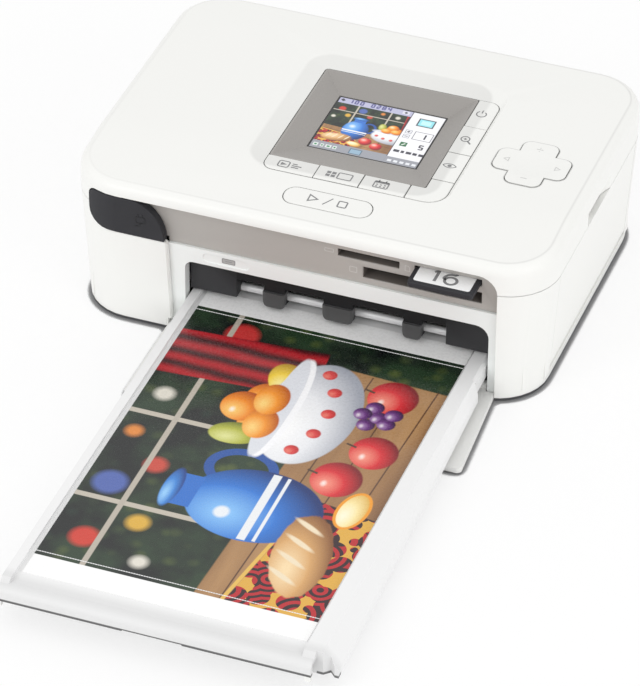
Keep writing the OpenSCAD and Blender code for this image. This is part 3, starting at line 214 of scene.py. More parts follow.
def plastic(name, colour, rough, scale=2600.0, depth=1.0, wear=1.06, drift=0.97, gloss=0.4,
            shade_dress=None):
    """Moulded plastic: fine spark-eroded texture, slow tone drift and rubbed edges.

    scale and depth belong to the texture. drift and wear are the brightness of the slow
    drift and of rubbed edges. shade_dress(g, colour) may lay painted shade over it all."""
    g = Graph(name)
    fine = g.noise(scale, 3.0)
    slow = g.noise(22.0, 2.0)
    edge = g.node("ShaderNodeNewGeometry").outputs["Pointiness"]
    rubbed = g.span(edge, 0.52, 0.62, 0.0, 1.0)
    tone = g.mix(slow, tint(colour, drift), colour)
    tone = g.mix(rubbed, tone, tint(colour, wear))
    g.set(Base_Color=shade_dress(g, tone) if shade_dress else tone)
    g.set(Roughness=g.math("ADD", g.span(fine, 0.3, 0.7, rough - 0.04, rough + 0.05),
                           g.span(slow, 0.3, 0.7, -0.02, 0.02)))
    g.set(IOR=1.48, Specular_IOR_Level=gloss)
    g.bump(fine, 0.25 * depth, 0.00004)
    return g.material


def brushed(name, colour, rough, along=(1, 60, 60), metal=1.0):
    """Drawn or brushed metal: long fine scratches and small changes of tone."""
    g = Graph(name)
    lines = g.noise(260.0, 4.0, g.stretched(*along))
    slow = g.noise(40.0, 2.0)
    g.set(Base_Color=g.mix(g.math("MULTIPLY", lines, slow), tint(colour, 0.8),
                           tint(colour, 1.1)))
    g.set(Metallic=metal, Roughness=g.span(lines, 0.3, 0.7, rough - 0.08, rough + 0.1))
    g.bump(lines, 0.2, 0.00002)
    return g.material


def soft_rubber(name, colour):
    g = Graph(name)
    fine = g.noise(1800.0, 4.0)
    slow = g.noise(60.0, 2.0)
    g.set(Base_Color=g.mix(slow, tint(colour, 0.75), tint(colour, 1.35)))
    g.set(Roughness=g.span(fine, 0.3, 0.7, 0.62, 0.85))
    g.bump(fine, 0.6, 0.00005)
    return g.material


def circuit(name):
    """Green board: light copper tracks in both directions, with plated holes."""
    green = (0.01, 0.12, 0.05)
    light_green = (0.03, 0.24, 0.1)
    g = Graph(name)
    x, y, _ = g.xyz()
    tracks = g.math("GREATER_THAN", g.math("FRACT", g.math("MULTIPLY", x, 0.8)), 0.7)
    across = g.math("GREATER_THAN", g.math("FRACT", g.math("MULTIPLY", y, 0.55)), 0.8)
    field = g.math("GREATER_THAN", g.noise(90.0, 1.0), 0.52)
    copper = g.mix(g.math("MULTIPLY", tracks, field), green, light_green)
    copper = g.mix(g.math("MULTIPLY", across, g.math("SUBTRACT", 1.0, field)), copper,
                   light_green)
    holes = g.math("LESS_THAN", g.cells(260.0).outputs["Distance"], 0.1)
    g.set(Base_Color=g.mix(holes, copper, (0.6, 0.55, 0.4)), Roughness=0.35, Coat_Weight=0.4)
    g.bump(tracks, 0.3, 0.00003)
    return g.material


def film(name):
    """Dye film wound or stretched: glossy, with fine lines along its run."""
    g = Graph(name)
    lines = g.noise(500.0, 3.0, g.stretched(0.02, 1, 1))
    slow = g.noise(35.0, 1.0)
    g.set(Base_Color=g.mix(slow, (0.07, 0.03, 0.09), (0.16, 0.08, 0.16)))
    g.set(Roughness=g.span(lines, 0.3, 0.7, 0.12, 0.28), Coat_Weight=0.5)
    g.bump(lines, 0.15, 0.00002)
    return g.material


def paper(name):
    g = Graph(name)
    fibre = g.noise(1500.0, 5.0)
    slow = g.noise(18.0, 1.0)
    g.set(Base_Color=g.mix(slow, (0.86, 0.86, 0.85), (0.9, 0.9, 0.89)))
    g.set(Roughness=g.span(fibre, 0.3, 0.7, 0.45, 0.6))
    g.bump(fibre, 0.3, 0.00002)
    return g.material


class Paint:
    """Flat shapes laid over each other on a material, in millimetres of its own axes.

    Angles are in degrees, and soft is the width over which an edge fades."""

    def __init__(self, g, x, y, base):
        self.g = g
        self.x = x
        self.y = y
        self.colour = base

    def lay(self, mask, colour):
        self.colour = self.g.mix(mask, self.colour, colour)

    def local(self, cx, cy, angle=0.0):
        g = self.g
        u = g.math("SUBTRACT", self.x, cx)
        v = g.math("SUBTRACT", self.y, cy)
        if angle == 0.0:
            return u, v
        c = math.cos(math.radians(angle))
        s = math.sin(math.radians(angle))
        return (g.math("ADD", g.math("MULTIPLY", u, c), g.math("MULTIPLY", v, s)),
                g.math("SUBTRACT", g.math("MULTIPLY", v, c), g.math("MULTIPLY", u, s)))

    def oval(self, cx, cy, rx, ry, angle=0.0, soft=0.3, wobble=None):
        """Mask of an ellipse, and the place in it as shares of its two radii."""
        g = self.g
        u, v = self.local(cx, cy, angle)
        u = g.math("DIVIDE", u, rx)
        v = g.math("DIVIDE", v, ry)
        d = g.length(u, v)
        if wobble is not None:
            d = g.math("ADD", d, wobble)
        edge = soft / min(rx, ry)
        return g.span(d, 1.0 - edge / 2, 1.0 + edge / 2, 1.0, 0.0), u, v

    def rect(self, cx, cy, w, h, angle=0.0, soft=0.2):
        g = self.g
        u, v = self.local(cx, cy, angle)
        du = g.math("SUBTRACT", g.math("ABSOLUTE", u), w / 2)
        dv = g.math("SUBTRACT", g.math("ABSOLUTE", v), h / 2)
        return g.span(g.math("MAXIMUM", du, dv), -soft / 2, soft / 2, 1.0, 0.0)

    def ball(self, cx, cy, rx, ry, dark, mid, light, angle=0.0, glint=0.0, wobble=None):
        """A rounded thing lit from the upper left."""
        g = self.g
        mask, u, v = self.oval(cx, cy, rx, ry, angle, 0.5, wobble)
        a = g.math("ADD", u, 0.35)
        b = g.math("SUBTRACT", v, 0.35)
        d = g.length(a, b)
        tone = g.mix(g.span(d, 0.1, 0.75, 0.0, 1.0), light, mid)
        tone = g.mix(g.span(d, 0.7, 1.4, 0.0, 1.0), tone, dark)
        self.lay(mask, tone)
        if glint:
            spot, _, _ = self.oval(cx - rx * 0.35, cy + ry * 0.38, rx * glint,
                                   ry * glint * 0.7, angle, 1.2)
            self.lay(g.math("MULTIPLY", spot, 0.8), (1.0, 0.97, 0.92))


def still_life(p, u0, v0, k, rich=True):
    """A made-up still life: fruit, a jug and a bowl on a table before a dark garden window.

    u0 and v0 are the picture's lower left corner and k is its scale, on a picture of 148 by
    100 units."""
    g = p.g

    def at(u, v):
        return u0 + u * k, v0 + v * k

    def ball(u, v, rx, ry, *rest, **more):
        p.ball(*at(u, v), rx * k, ry * k, *rest, **more)

    def rect(u, v, w, h, colour, angle=0.0, soft=0.3):
        p.lay(p.rect(*at(u, v), w * k, h * k, angle, soft * k), colour)

    def ring(u, v, outer, inner, colour, angle=0.0, rise=0.0, clamp=False):
        p.lay(g.math("SUBTRACT", p.oval(*at(u, v), outer[0] * k, outer[1] * k, angle)[0],
                     p.oval(*at(u, v + rise), inner[0] * k, inner[1] * k, angle)[0],
                     clamp=clamp), colour)

    leaves = g.cells(130.0 / k)
    deep = g.noise(45.0 / k, 4.0)
    garden = g.mix(g.span(deep, 0.4, 0.6, 0.0, 1.0), (0.004, 0.006, 0.006),
                   (0.02, 0.045, 0.02))
    leaf = g.mix(g.span(deep, 0.4, 0.6, 0.0, 1.0), (0.012, 0.03, 0.02), (0.1, 0.13, 0.03))
    p.colour = g.mix(g.span(leaves.outputs["Distance"], 0.1, 0.4, 0.7, 0.0), garden, leaf)
    # Far lights and flowers, out of focus
    for u, v, r, colour in ((14, 88, 5, (0.75, 0.05, 0.03)), (27, 74, 4, (0.85, 0.5, 0.06)),
                            (44, 91, 6, (0.1, 0.16, 0.5)), (58, 80, 4, (0.7, 0.08, 0.05)),
                            (120, 90, 5, (0.9, 0.62, 0.12)), (137, 79, 6, (0.66, 0.04, 0.04)),
                            (96, 92, 3.5, (0.85, 0.8, 0.7)), (8, 66, 3, (0.9, 0.85, 0.75)),
                            (131, 62, 3, (0.12, 0.25, 0.6)), (73, 94, 3, (0.9, 0.3, 0.05))):
        mask, _, _ = p.oval(*at(u, v), r * k, r * k, 0.0, 2.5 * k)
        p.lay(g.math("MULTIPLY", mask, 0.85), colour)
    # Window bars and a red curtain with folds
    for u in (35, 84):
        rect(u, 76, 2.4, 60, (0.55, 0.5, 0.42))
    rect(74, 83, 150, 2.0, (0.5, 0.45, 0.38))
    waver = g.math("MULTIPLY", g.noise(30.0 / k, 2.0), 5.0)
    folds = g.math("SINE", g.math("ADD", g.math("MULTIPLY", p.x, 0.8 / k), waver))
    cloth = g.mix(g.span(folds, -1.0, 1.0, 0.0, 1.0), (0.05, 0.003, 0.006),
                  (0.45, 0.012, 0.02))
    p.lay(p.rect(*at(122, 78), 26 * k, 66 * k, 4.0, 0.5 * k), cloth)
    # Table, its boards and a patterned red cloth over one end
    grain = g.noise(60.0 / k, 5.0, g.stretched(1, 0.12, 1))
    wood = g.mix(g.span(grain, 0.3, 0.7, 0.0, 1.0), (0.2, 0.09, 0.035), (0.5, 0.28, 0.12))
    p.lay(p.rect(*at(62, 17), 136 * k, 46 * k, -3.0, 0.6 * k), wood)
    for v in (7, 19, 31):
        rect(62, v, 136, 0.5, (0.09, 0.035, 0.015), angle=-3.0)
    rings = g.math("SINE", g.math("MULTIPLY", g.cells(70.0 / k).outputs["Distance"], 34.0))
    cover = g.mix(g.math("GREATER_THAN", rings, 0.1), (0.5, 0.012, 0.02), (0.03, 0.008, 0.012))
    gold = g.math("GREATER_THAN", g.cells(150.0 / k).outputs["Distance"], 0.62)
    cover = g.mix(gold, cover, (0.75, 0.42, 0.06))
    p.lay(p.rect(*at(22, 12), 70 * k, 34 * k, -9.0, 0.5 * k), cover)
    rect(19, 30.5, 76, 1.4, (0.8, 0.5, 0.1), angle=-9.0)
    # Blue jug with a pale band and a handle
    ring(66, 52, (11, 13), (7.5, 9.5), (0.02, 0.09, 0.36))
    ball(49, 41, 19, 24, (0.006, 0.03, 0.16), (0.03, 0.2, 0.68), (0.25, 0.55, 0.95),
         glint=0.16)
    rect(49, 66, 17, 9, (0.03, 0.17, 0.6))
    ball(49, 70.5, 10.5, 3.2, (0.01, 0.05, 0.25), (0.05, 0.25, 0.7), (0.3, 0.6, 0.95))
    rect(49, 39, 36.4, 3.0, (0.86, 0.88, 0.9))
    rect(49, 34.6, 35.4, 1.2, (0.86, 0.88, 0.9))
    # White bowl with oranges, lemons and a pear behind its rim
    for u, v, rx, ry in ((92, 55, 8.5, 8.2), (106, 57, 8.8, 8.5), (99, 64, 8.3, 8.0)):
        ball(u, v, rx, ry, (0.4, 0.06, 0.0), (0.9, 0.27, 0.015), (1.0, 0.62, 0.16),
             glint=0.14)
    ball(118, 55, 9.5, 6.6, (0.45, 0.26, 0.01), (0.93, 0.66, 0.05), (1.0, 0.9, 0.4), angle=24)
    ball(84, 61, 6.0, 9.5, (0.14, 0.16, 0.01), (0.48, 0.5, 0.06), (0.75, 0.76, 0.3), angle=12)
    ball(103, 41, 29, 17, (0.36, 0.38, 0.44), (0.84, 0.85, 0.88), (1.0, 1.0, 1.0))
    p.lay(p.oval(*at(103, 52), 29 * k, 4.4 * k)[0], (0.75, 0.77, 0.82))
    for u, v, r in ((92, 55, 8.5), (106, 56, 8.8)):
        ball(u, v, r, 6.0, (0.5, 0.1, 0.0), (0.93, 0.32, 0.02), (1.0, 0.66, 0.2))
    ring(103, 50.6, (29, 5.4), (28.6, 5.0), (0.98, 0.98, 1.0), rise=1.8, clamp=True)
    for u, v in ((82, 40), (93, 36), (105, 35), (117, 37), (126, 42)):
        ball(u, v, 2.6, 2.6, (0.5, 0.02, 0.02), (0.72, 0.05, 0.05), (0.85, 0.2, 0.15))
    # Loaf, apples, grapes and a slice on the table
    crust = g.math("MULTIPLY", g.math("SUBTRACT", g.noise(220.0 / k, 3.0), 0.5), 0.16)
    ball(30, 17, 22, 10, (0.26, 0.1, 0.03), (0.72, 0.4, 0.15), (0.95, 0.72, 0.42), angle=8,
         wobble=crust)
    for u in (18, 27, 36, 45):
        p.lay(p.oval(*at(u, 19.6), 1.1 * k, 6.0 * k, -28.0, 0.6 * k)[0], (0.9, 0.76, 0.54))
    for u, v, r in ((72, 20, 9.5), (90, 13, 9.0), (121, 17, 9.5)):
        ball(u, v, r, r * 0.94, (0.2, 0.003, 0.008), (0.72, 0.02, 0.03), (0.95, 0.3, 0.22),
             glint=0.13)
        p.lay(p.rect(*at(u + 1.5, v + r * 0.95), 0.9 * k, 4.0 * k, -14.0, 0.3 * k),
              (0.08, 0.04, 0.02))
    if rich:
        for u, v in ((104, 21), (109, 18), (114, 21), (106.5, 14.5), (112, 13.5), (109.5, 24)):
            ball(u, v, 3.3, 3.3, (0.03, 0.005, 0.05), (0.14, 0.03, 0.2), (0.42, 0.25, 0.5),
                 glint=0.18)
    ball(58, 9, 10, 5.2, (0.75, 0.45, 0.08), (0.98, 0.82, 0.4), (1.0, 0.95, 0.7), angle=-6)
    ring(58, 9, (10.4, 5.6), (9.2, 4.5), (0.9, 0.35, 0.02), angle=-6.0, clamp=True)


def print_surface(name, node):
    """Glossy paper with white ends; the picture runs to both long edges."""
    g = Graph(name)
    x, y, z = g.xyz()
    low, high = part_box(node)
    margin = 10.0
    half_width = 50.0
    beyond = 300.0
    front = low.y / MM + margin
    rear = high.y / MM - margin
    right = high.x / MM
    # The picture's own axes: it lies with its top towards the left
    u = g.math("SUBTRACT", y, front)
    v = g.math("SUBTRACT", right, x)
    p = Paint(g, u, v, (0.0, 0.0, 0.0))
    still_life(p, 0.0, 0.0, 1.0)
    length = rear - front
    inside = p.rect(length / 2, half_width, length, beyond, 0.0, 0.12)
    colour = g.mix(inside, (0.975, 0.975, 0.97), p.colour)
    # Scored lines across the picture's ends, between 1.7 and 2.1 mm in
    score = g.math("SUBTRACT",
                   p.rect(length / 2, half_width, length - 3.4, beyond, 0.0, 0.1),
                   p.rect(length / 2, half_width, length - 4.2, beyond, 0.0, 0.1), clamp=True)
    dashes = g.math("GREATER_THAN", g.math("FRACT", g.math("MULTIPLY", v, 1.1)), 0.12)
    colour = g.mix(g.math("MULTIPLY", score, dashes), colour, (0.9, 0.9, 0.9))
    top = g.math("GREATER_THAN", z, low.z / MM + 0.2)
    colour = g.mix(top, (0.93, 0.93, 0.925), colour)
    g.set(Base_Color=colour, Coat_Weight=0.25, Coat_Roughness=0.08)
    g.set(Roughness=g.span(g.noise(900.0, 2.0), 0.3, 0.7, 0.24, 0.32))
    g.bump(g.math("SUBTRACT", g.noise(1100.0, 2.0), score), 0.01, 0.00001)
    return g.material


# Bars of a segment numeral: a, g and d lie across from the top down, the others stand
DIGITS = {"0": "abcdef", "1": "bc", "2": "abged", "4": "fgbc", "5": "afgcd", "8": "abcdefg"}


def digit(p, char, cx, cy, h, colour, pen=0.16):
    """A plain segment numeral of height h, whose bars are pen times as thick."""
    w = h * 0.5
    t = h * pen
    bars = {"a": (0, h / 2, w, t), "g": (0, 0, w, t), "d": (0, -h / 2, w, t),
            "f": (-w / 2, h / 4, t, h / 2), "b": (w / 2, h / 4, t, h / 2),
            "e": (-w / 2, -h / 4, t, h / 2), "c": (w / 2, -h / 4, t, h / 2)}
    for s in DIGITS[char]:
        bx, by, bw, bh = bars[s]
        p.lay(p.rect(cx + bx, cy + by, bw + t * 0.5, bh + t * 0.5, 0.0, 0.08), colour)


def screen_surface(name, node):
    """Lit panel: a picture with a title bar, a column of counters and a bar of hints."""
    g = Graph(name)
    x, y, z = g.xyz()
    low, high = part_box(node)
    cx = (low.x + high.x) / 2 / MM
    cy = (low.y + high.y) / 2 / MM
    # The lit area, and the scale of the picture in it
    w = 41.1
    h = 34.4
    scale = 28.0 / 148 * 1.34
    left = cx - w / 2
    bottom = cy - h / 2
    p = Paint(g, x, y, (0.0, 0.0, 0.0))
    still_life(p, left, bottom + 5.0, scale, rich=False)

    def rect(u, v, w, h, colour, angle=0.0):
        p.lay(p.rect(left + u, bottom + v, w, h, angle), colour)

    dark = (0.05, 0.05, 0.07)
    grey = (0.33, 0.34, 0.38)
    rect(14.5, 32.6, 30, 3.8, (0.5, 0.5, 0.68))
    rect(14.5, 2.6, 30, 5.2, grey)
    p.lay(p.rect(left + 35.2, cy, 13.2, 40), (0.9, 0.9, 0.93))
    p.lay(p.rect(left + 28.5, cy, 0.3, 40), dark)
    rect(35, 2.2, 13.4, 4.6, grey)
    # Title bar
    rect(1.9, 32.6, 1.2, 1.5, dark, 45.0)
    for i, char in enumerate("100 0284"):
        if char != " ":
            digit(p, char, left + 5.0 + i * 2.1, bottom + 32.6, 1.9, (0.12, 0.12, 0.3), 0.2)
    rect(26, 32.6, 2.6, 1.8, (0.75, 0.75, 0.85))
    rect(26, 32.6, 1.0, 1.0, dark, 45.0)
    # Counters
    rect(35, 28.6, 6.4, 5.0, dark)
    rect(35, 28.6, 5.4, 4.0, (0.32, 0.78, 0.86))
    rect(35, 28.6, 3.6, 2.4, (0.55, 0.9, 0.95))
    for v in (21.6, 18.6):
        rect(30.8, v, 2.5, 2.3, grey)
        rect(30.8, v, 2.0, 1.8, (0.86, 0.86, 0.9))
        rect(30.8, v, 1.2, 0.35, dark)
    rect(30.8, 21.6, 0.35, 1.2, dark)
    rect(36.6, 20.1, 7.0, 5.2, dark)
    rect(36.6, 20.1, 6.5, 4.7, (0.93, 0.93, 0.96))
    digit(p, "1", left + 36.8, bottom + 20.1, 2.8, dark)
    rect(31.6, 13.4, 2.6, 2.6, (0.03, 0.16, 0.06))
    rect(31.6, 13.4, 1.6, 0.5, (0.85, 0.9, 0.85), 45.0)
    digit(p, "5", left + 38.2, bottom + 13.4, 2.6, dark)
    for i, wide in enumerate((2.2, 1.2, 2.0, 1.6, 1.8)):
        rect(30.6 + i * 2.3, 8.7, wide, 1.5, dark)
    for i in range(5):
        rect(30.2 + i * 2.3, 2.2, 1.5, 1.3, (0.8, 0.82, 0.86))
    # Hint bar
    for i, wide in enumerate((1.8, 1.2, 2.2, 1.4)):
        rect(2.2 + i * 2.4, 2.7, wide, 1.9, (0.75, 0.8, 0.78))
        rect(2.2 + i * 2.4, 2.7, wide * 0.5, 0.9, (0.05, 0.25, 0.1))
    rect(17.2, 2.7, 4.6, 3.2, (0.1, 0.16, 0.22))
    rect(17.2, 2.7, 3.9, 2.5, (0.3, 0.45, 0.58))
    area = p.rect(cx, cy, w - 1.0, h - 1.0, 0.0, 0.1)
    colour = g.mix(area, (0.01, 0.01, 0.012), p.colour)
    up = g.math("GREATER_THAN", z, high.z / MM - 0.1)
    colour = g.mix(up, (0.05, 0.05, 0.055), colour)
    g.set(Base_Color=colour, Emission_Color=colour, Emission_Strength=0.12)
    g.set(Roughness=g.span(g.noise(60.0, 2.0), 0.3, 0.7, 0.1, 0.18))
    g.set(Coat_Weight=0.3, Coat_Roughness=0.04)
    return g.material


# Oblongs seen from above, in millimetres: middle, size and corner radius
DISH = (3.2, 85.35, 70.6, 74.3, 9.0)
CREASE = (0.0, 84.0, 171.4, 120.4, 16.0)
SCOOP = (84.35, 84.0, 5.0, 30.2, 0.1)


def painted_top_shade(g, colour):
    """Painted shade on the top: the shallow dish round the display, darker towards its right
    and its front, a fine painted shade line at the crease of the top, painted shade in the
    finger scoop, and painted shade in the gaps between pieces."""
    x, y, z = g.xyz()
    high = g.math("GREATER_THAN", z, 56.0)
    # Painted shade on the sloping band of the dish, deeper towards the right and the front
    dish = g.math("MULTIPLY", g.span(g.outline(*DISH), -0.7, 0.5, 1.0, 0.0), high)
    along = g.math("SUBTRACT", x, g.math("SUBTRACT", y, 86.0))
    colour = g.shade(dish, colour, g.span(along, -30.0, 32.0, 0.915, 0.85))
    # Painted shade line along the crease of the top, deeper towards the right
    off = g.math("ABSOLUTE", g.outline(*CREASE))
    line = g.math("MULTIPLY", g.span(off, 0.1, 0.55, 1.0, 0.0), high)
    colour = g.shade(line, colour, g.span(x, -80.0, 10.0, 0.96, 0.87))
    # Painted shade in the finger scoop over the side cover, darkest at its inner wall
    scoop = g.math("MULTIPLY", g.math("LESS_THAN", z, 57.6),
                   g.math("LESS_THAN", g.outline(*SCOOP), 0.0))
    colour = g.shade(scoop, colour, g.span(x, 82.1, 82.5, 0.2, 0.6))
    # Painted shade in the gaps between pieces, where occlusion within 0.6 mm is high
    near = g.node("ShaderNodeAmbientOcclusion", samples=8)
    near.inputs["Distance"].default_value = 0.6 * MM
    return g.shade(g.span(near.outputs["AO"], 0.6, 0.86, 1.0, 0.0), colour, 0.68)


def painted_cassette_shade(g, colour):
    """Painted shade on the cassette: darker at its front wall and inside the printer, and a
    painted shadow line below the front wall and below the end of the right rail."""
    x, y, z = g.xyz()
    low = g.span(z, 8.0, 8.3, 1.0, 0.0)
    near = g.math("LESS_THAN", y, -144.0)
    # Painted shade on the front wall
    colour = g.shade(g.span(y, -141.0, -137.5, 1.0, 0.0), colour, 0.88)
    # Painted shadow of the printer's body on the part inside it
    colour = g.shade(g.span(y, 2.0, 24.0, 0.0, 1.0), colour, 0.9)
    # Painted shadow line along the foot of the front wall
    colour = g.shade(g.math("MULTIPLY", low, near), colour, 0.17)
    # Painted shadow line under the front end of the right rail
    rail = g.math("MULTIPLY", g.math("LESS_THAN", y, -139.5), g.math("GREATER_THAN", x, 66.5))
    return g.shade(g.math("MULTIPLY", rail, g.span(z, 5.6, 6.0, 1.0, 0.0)), colour, 0.2)


def beamed(g, colour):
    """The beam between the side blocks lies in shadow."""
    middle = 12.6
    reach = 39.2
    x, _, z = g.xyz()
    off = g.math("ABSOLUTE", g.math("SUBTRACT", x, middle))
    beam = g.math("MULTIPLY", g.math("LESS_THAN", off, reach), g.span(z, 20.0, 21.0, 0.0, 1.0))
    return g.shade(beam, colour, 0.62)


WHITE = (0.885, 0.885, 0.86)
finish = {
    "white_casing": plastic("white_casing", WHITE, 0.34, wear=1.0, drift=0.985),
    # White of the top and of the keys, with painted shade from painted_top_shade
    "white_top": plastic("white_top", WHITE, 0.34, wear=1.0, drift=0.985, shade_dress=painted_top_shade),
    "white_keys": plastic("white_keys", WHITE, 0.38, wear=1.0, drift=0.98, shade_dress=painted_top_shade),
    # Lighter copy of warm_grey for the card panel: painted light where the lintel shades it
    "panel_lit_warm_grey": plastic("panel_lit_warm_grey", (0.44, 0.42, 0.395), 0.36, 1900.0, 1.6, drift=0.95),
    "guide_black": plastic("guide_black", (0.034, 0.034, 0.036), 0.5, 2200.0, 2.0, wear=1.7,
                           drift=0.85, gloss=0.2, shade_dress=beamed),
    # Lighter copy of the guide's plastic on the finger shells: a painted highlight on their
    # fronts
    "finger_lit_grey": plastic("finger_lit_grey", (0.068, 0.068, 0.069), 0.42, 2200.0, 1.6, wear=1.3,
                           drift=0.9, gloss=0.45),
    "reader_brown": plastic("reader_brown", (0.17, 0.15, 0.135), 0.5, 1500.0, 2.0, drift=0.8),
    "shaft_steel": brushed("shaft_steel", (0.93, 0.93, 0.94), 0.45, (1, 40, 40), 0.25),
    # Brighter, cooler copy of the casing white: painted light on the front frame under the lip
    "frame_lit_white": plastic("frame_lit_white", (0.905, 0.925, 0.91), 0.38, wear=1.0, drift=0.985),
    "warm_grey": plastic("warm_grey", (0.35, 0.333, 0.315), 0.36, 1900.0, 1.6, drift=0.95),
    "charcoal": plastic("charcoal", (0.032, 0.032, 0.036), 0.5, 2200.0, 2.0, wear=1.7,
                        drift=0.85, gloss=0.2),
    # Cassette white, with painted shade from painted_cassette_shade
    "cassette_white": plastic("cassette_white", (0.875, 0.875, 0.875), 0.4, depth=0.2,
                              wear=1.0, gloss=0.3, shade_dress=painted_cassette_shade),
    "door_white": plastic("door_white", (0.85, 0.85, 0.83), 0.4, wear=1.03),
    "base_grey": plastic("base_grey", (0.075, 0.075, 0.08), 0.55, 1500.0, 2.4, wear=1.4,
                         drift=0.8),
    "gear_plastic": plastic("gear_plastic", (0.8, 0.78, 0.7), 0.32, drift=0.93),
    "cartridge_grey": plastic("cartridge_grey", (0.6, 0.6, 0.62), 0.4, drift=0.93),
    "steel": brushed("steel", (0.68, 0.69, 0.7), 0.4),
    "brass": brushed("brass", (0.72, 0.5, 0.2), 0.25, (60, 1, 1)),
    "aluminium": brushed("aluminium", (0.74, 0.75, 0.76), 0.36, (1, 8, 8)),
    "rubber": soft_rubber("rubber", (0.035, 0.035, 0.036)),
    "circuit_board": circuit("circuit_board"),
    "ribbon_film": film("ribbon_film"),
    "paper": paper("paper"),
    "print_paper": print_surface("print_paper", "print"),
    "display_glass": screen_surface("display_glass", "display_panel"),
    "ink": plastic("ink", (0.24, 0.24, 0.245), 0.5, wear=1.0, drift=0.9),
    "pale_ink": plastic("pale_ink", (0.62, 0.62, 0.61), 0.45, wear=1.0),
    "label": plastic("label", (0.95, 0.95, 0.95), 0.5, 900.0, 0.4, wear=1.0),
    "panel_ink": plastic("panel_ink", (0.6, 0.59, 0.57), 0.5, wear=1.0),
    "cap_mark": plastic("cap_mark", (0.014, 0.014, 0.016), 0.4, wear=1.0),
    # Grey of painted shade lines beside gaps
    "rim_shade_grey": plastic("rim_shade_grey", (0.58, 0.58, 0.57), 0.5, wear=1.0),
    "field_grey": plastic("field_grey", (0.45, 0.45, 0.44), 0.4, wear=1.0),
}


# ---- pieces ---------------------------------------------------------------------------

def slot_of(node):
    return frame["nodes"][node].data.materials[0].name.split(".")[0]


# Nodes whose finish differs from the rest of their slot; top_cover and paper_guide carry
# painted shade, card_panel and front_frame get lighter copies that paint light on them
special = {"top_cover": "white_top", "card_panel": "panel_lit_warm_grey", "paper_guide": "guide_black",
           "card_reader": "reader_brown", "exit_shaft": "shaft_steel",
           "front_frame": "frame_lit_white"}
slots = {}
for node, thing in frame["nodes"].items():
    slots[node] = slot_of(node)
    thing.data.materials.clear()
    thing.data.materials.append(finish[special.get(node, slots[node])])


def as_mesh(name, bm):
    mesh = bpy.data.meshes.new(name)
    bm.to_mesh(mesh)
    bm.free()
    return mesh


def link_piece(name, bm, node, material):
    """A piece of the scene that moves with the node, in the given finish."""
    mesh = as_mesh(name, bm)
    mesh.materials.append(finish[material])
    piece = bpy.data.objects.new(name, mesh)
    bpy.context.scene.collection.objects.link(piece)
    body = body_of_node[node]
    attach(piece, body)
    return piece


def loft(bm, rings):
    """Walls between rings of as many points each, with both ends closed."""
    for a, b in zip(rings, rings[1:]):
        for i in range(len(a)):
            j = (i + 1) % len(a)
            bm.faces.new((a[i], a[j], b[j], b[i]))
    bm.faces.new(list(reversed(rings[0])))
    bm.faces.new(rings[-1])


def clean_faces(bm, join):
    bmesh.ops.remove_doubles(bm, verts=bm.verts, dist=2e-6)
    bmesh.ops.dissolve_degenerate(bm, edges=bm.edges, dist=1e-6)
    if join:
        bmesh.ops.dissolve_limit(bm, angle_limit=math.radians(0.6), verts=bm.verts,
                                 edges=bm.edges)


def turns_smoothly(edge, crease):
    """Whether an edge is shaded as part of a round; not between two large flat faces."""
    large_face = 1.5e-4
    flat_angle = 0.5
    if len(edge.link_faces) != 2:
        return False
    angle = edge.calc_face_angle(math.pi)
    small = min(face.calc_area() for face in edge.link_faces)
    return angle < math.radians(crease) and (small < large_face
                                             or angle < math.radians(flat_angle))


def soft_fold(mesh):
    """Shades the front fall of the top as a slow turn instead of a fold."""
    fold_angle = math.radians(5.0)
    fold_y = 53.5
    turn_rear = 63.0
    turn_length = 19.0
    top = max(v.co.z for v in mesh.vertices) / MM
    fall = math.tan(fold_angle)
    level = [abs(v.co.z / MM - top + max(0.0, fold_y - v.co.y / MM) * fall) < 0.04
             for v in mesh.vertices]
    flat = {face.index for face in mesh.polygons if all(level[i] for i in face.vertices)}
    sides = {}
    for face in mesh.polygons:
        for key in face.edge_keys:
            sides.setdefault(key, set()).add(face.index in flat)
    for edge in mesh.edges:
        if len(sides.get(edge.key, ())) > 1:
            edge.use_edge_sharp = True
    mesh.update()
    normals = [Vector(corner.vector) for corner in mesh.corner_normals]
    for index in flat:
        for loop in mesh.polygons[index].loop_indices:
            y = mesh.vertices[mesh.loops[loop].vertex_index].co.y / MM
            t = min(1.0, max(0.0, (turn_rear - y) / turn_length))
            angle = fold_angle * t * t * (3 - 2 * t)
            normals[loop] = Vector((0.0, -math.sin(angle), math.cos(angle)))
    mesh.normals_split_custom_set(normals)


def refine(node, width, crease=24, join=True, miter="MITER_ARC", clamp=True, fold=()):
    """A copy of a CAD node with rounded edges, which stands for the node.

    width is the rounding in millimetres, edges that turn by less than crease degrees are
    shaded smooth, and fold holds the places where the falling top is cut into strips."""
    source = frame["nodes"][node]
    bm = bmesh.new()
    bm.from_mesh(source.data)
    clean_faces(bm, join)
    for y in fold:
        bmesh.ops.bisect_plane(bm, geom=bm.verts[:] + bm.edges[:] + bm.faces[:], dist=1e-7,
                               plane_co=(0, y * MM, 0), plane_no=Y)
    for face in bm.faces:
        face.smooth = True
    for edge in bm.edges:
        edge.smooth = turns_smoothly(edge, crease)
    piece = link_piece(node + "_skin", bm, node, special.get(node, slots[node]))
    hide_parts(node)
    if fold:
        soft_fold(piece.data)
        return
    if width:
        bevel = piece.modifiers.new("edges", "BEVEL")
        bevel.width = width * MM
        bevel.segments = 2
        bevel.limit_method = "ANGLE"
        bevel.angle_limit = math.radians(32)
        bevel.use_clamp_overlap = clamp
        bevel.miter_outer = miter
    weigh = piece.modifiers.new("normals", "WEIGHTED_NORMAL")
    weigh.mode = "FACE_AREA"
    weigh.keep_sharp = True


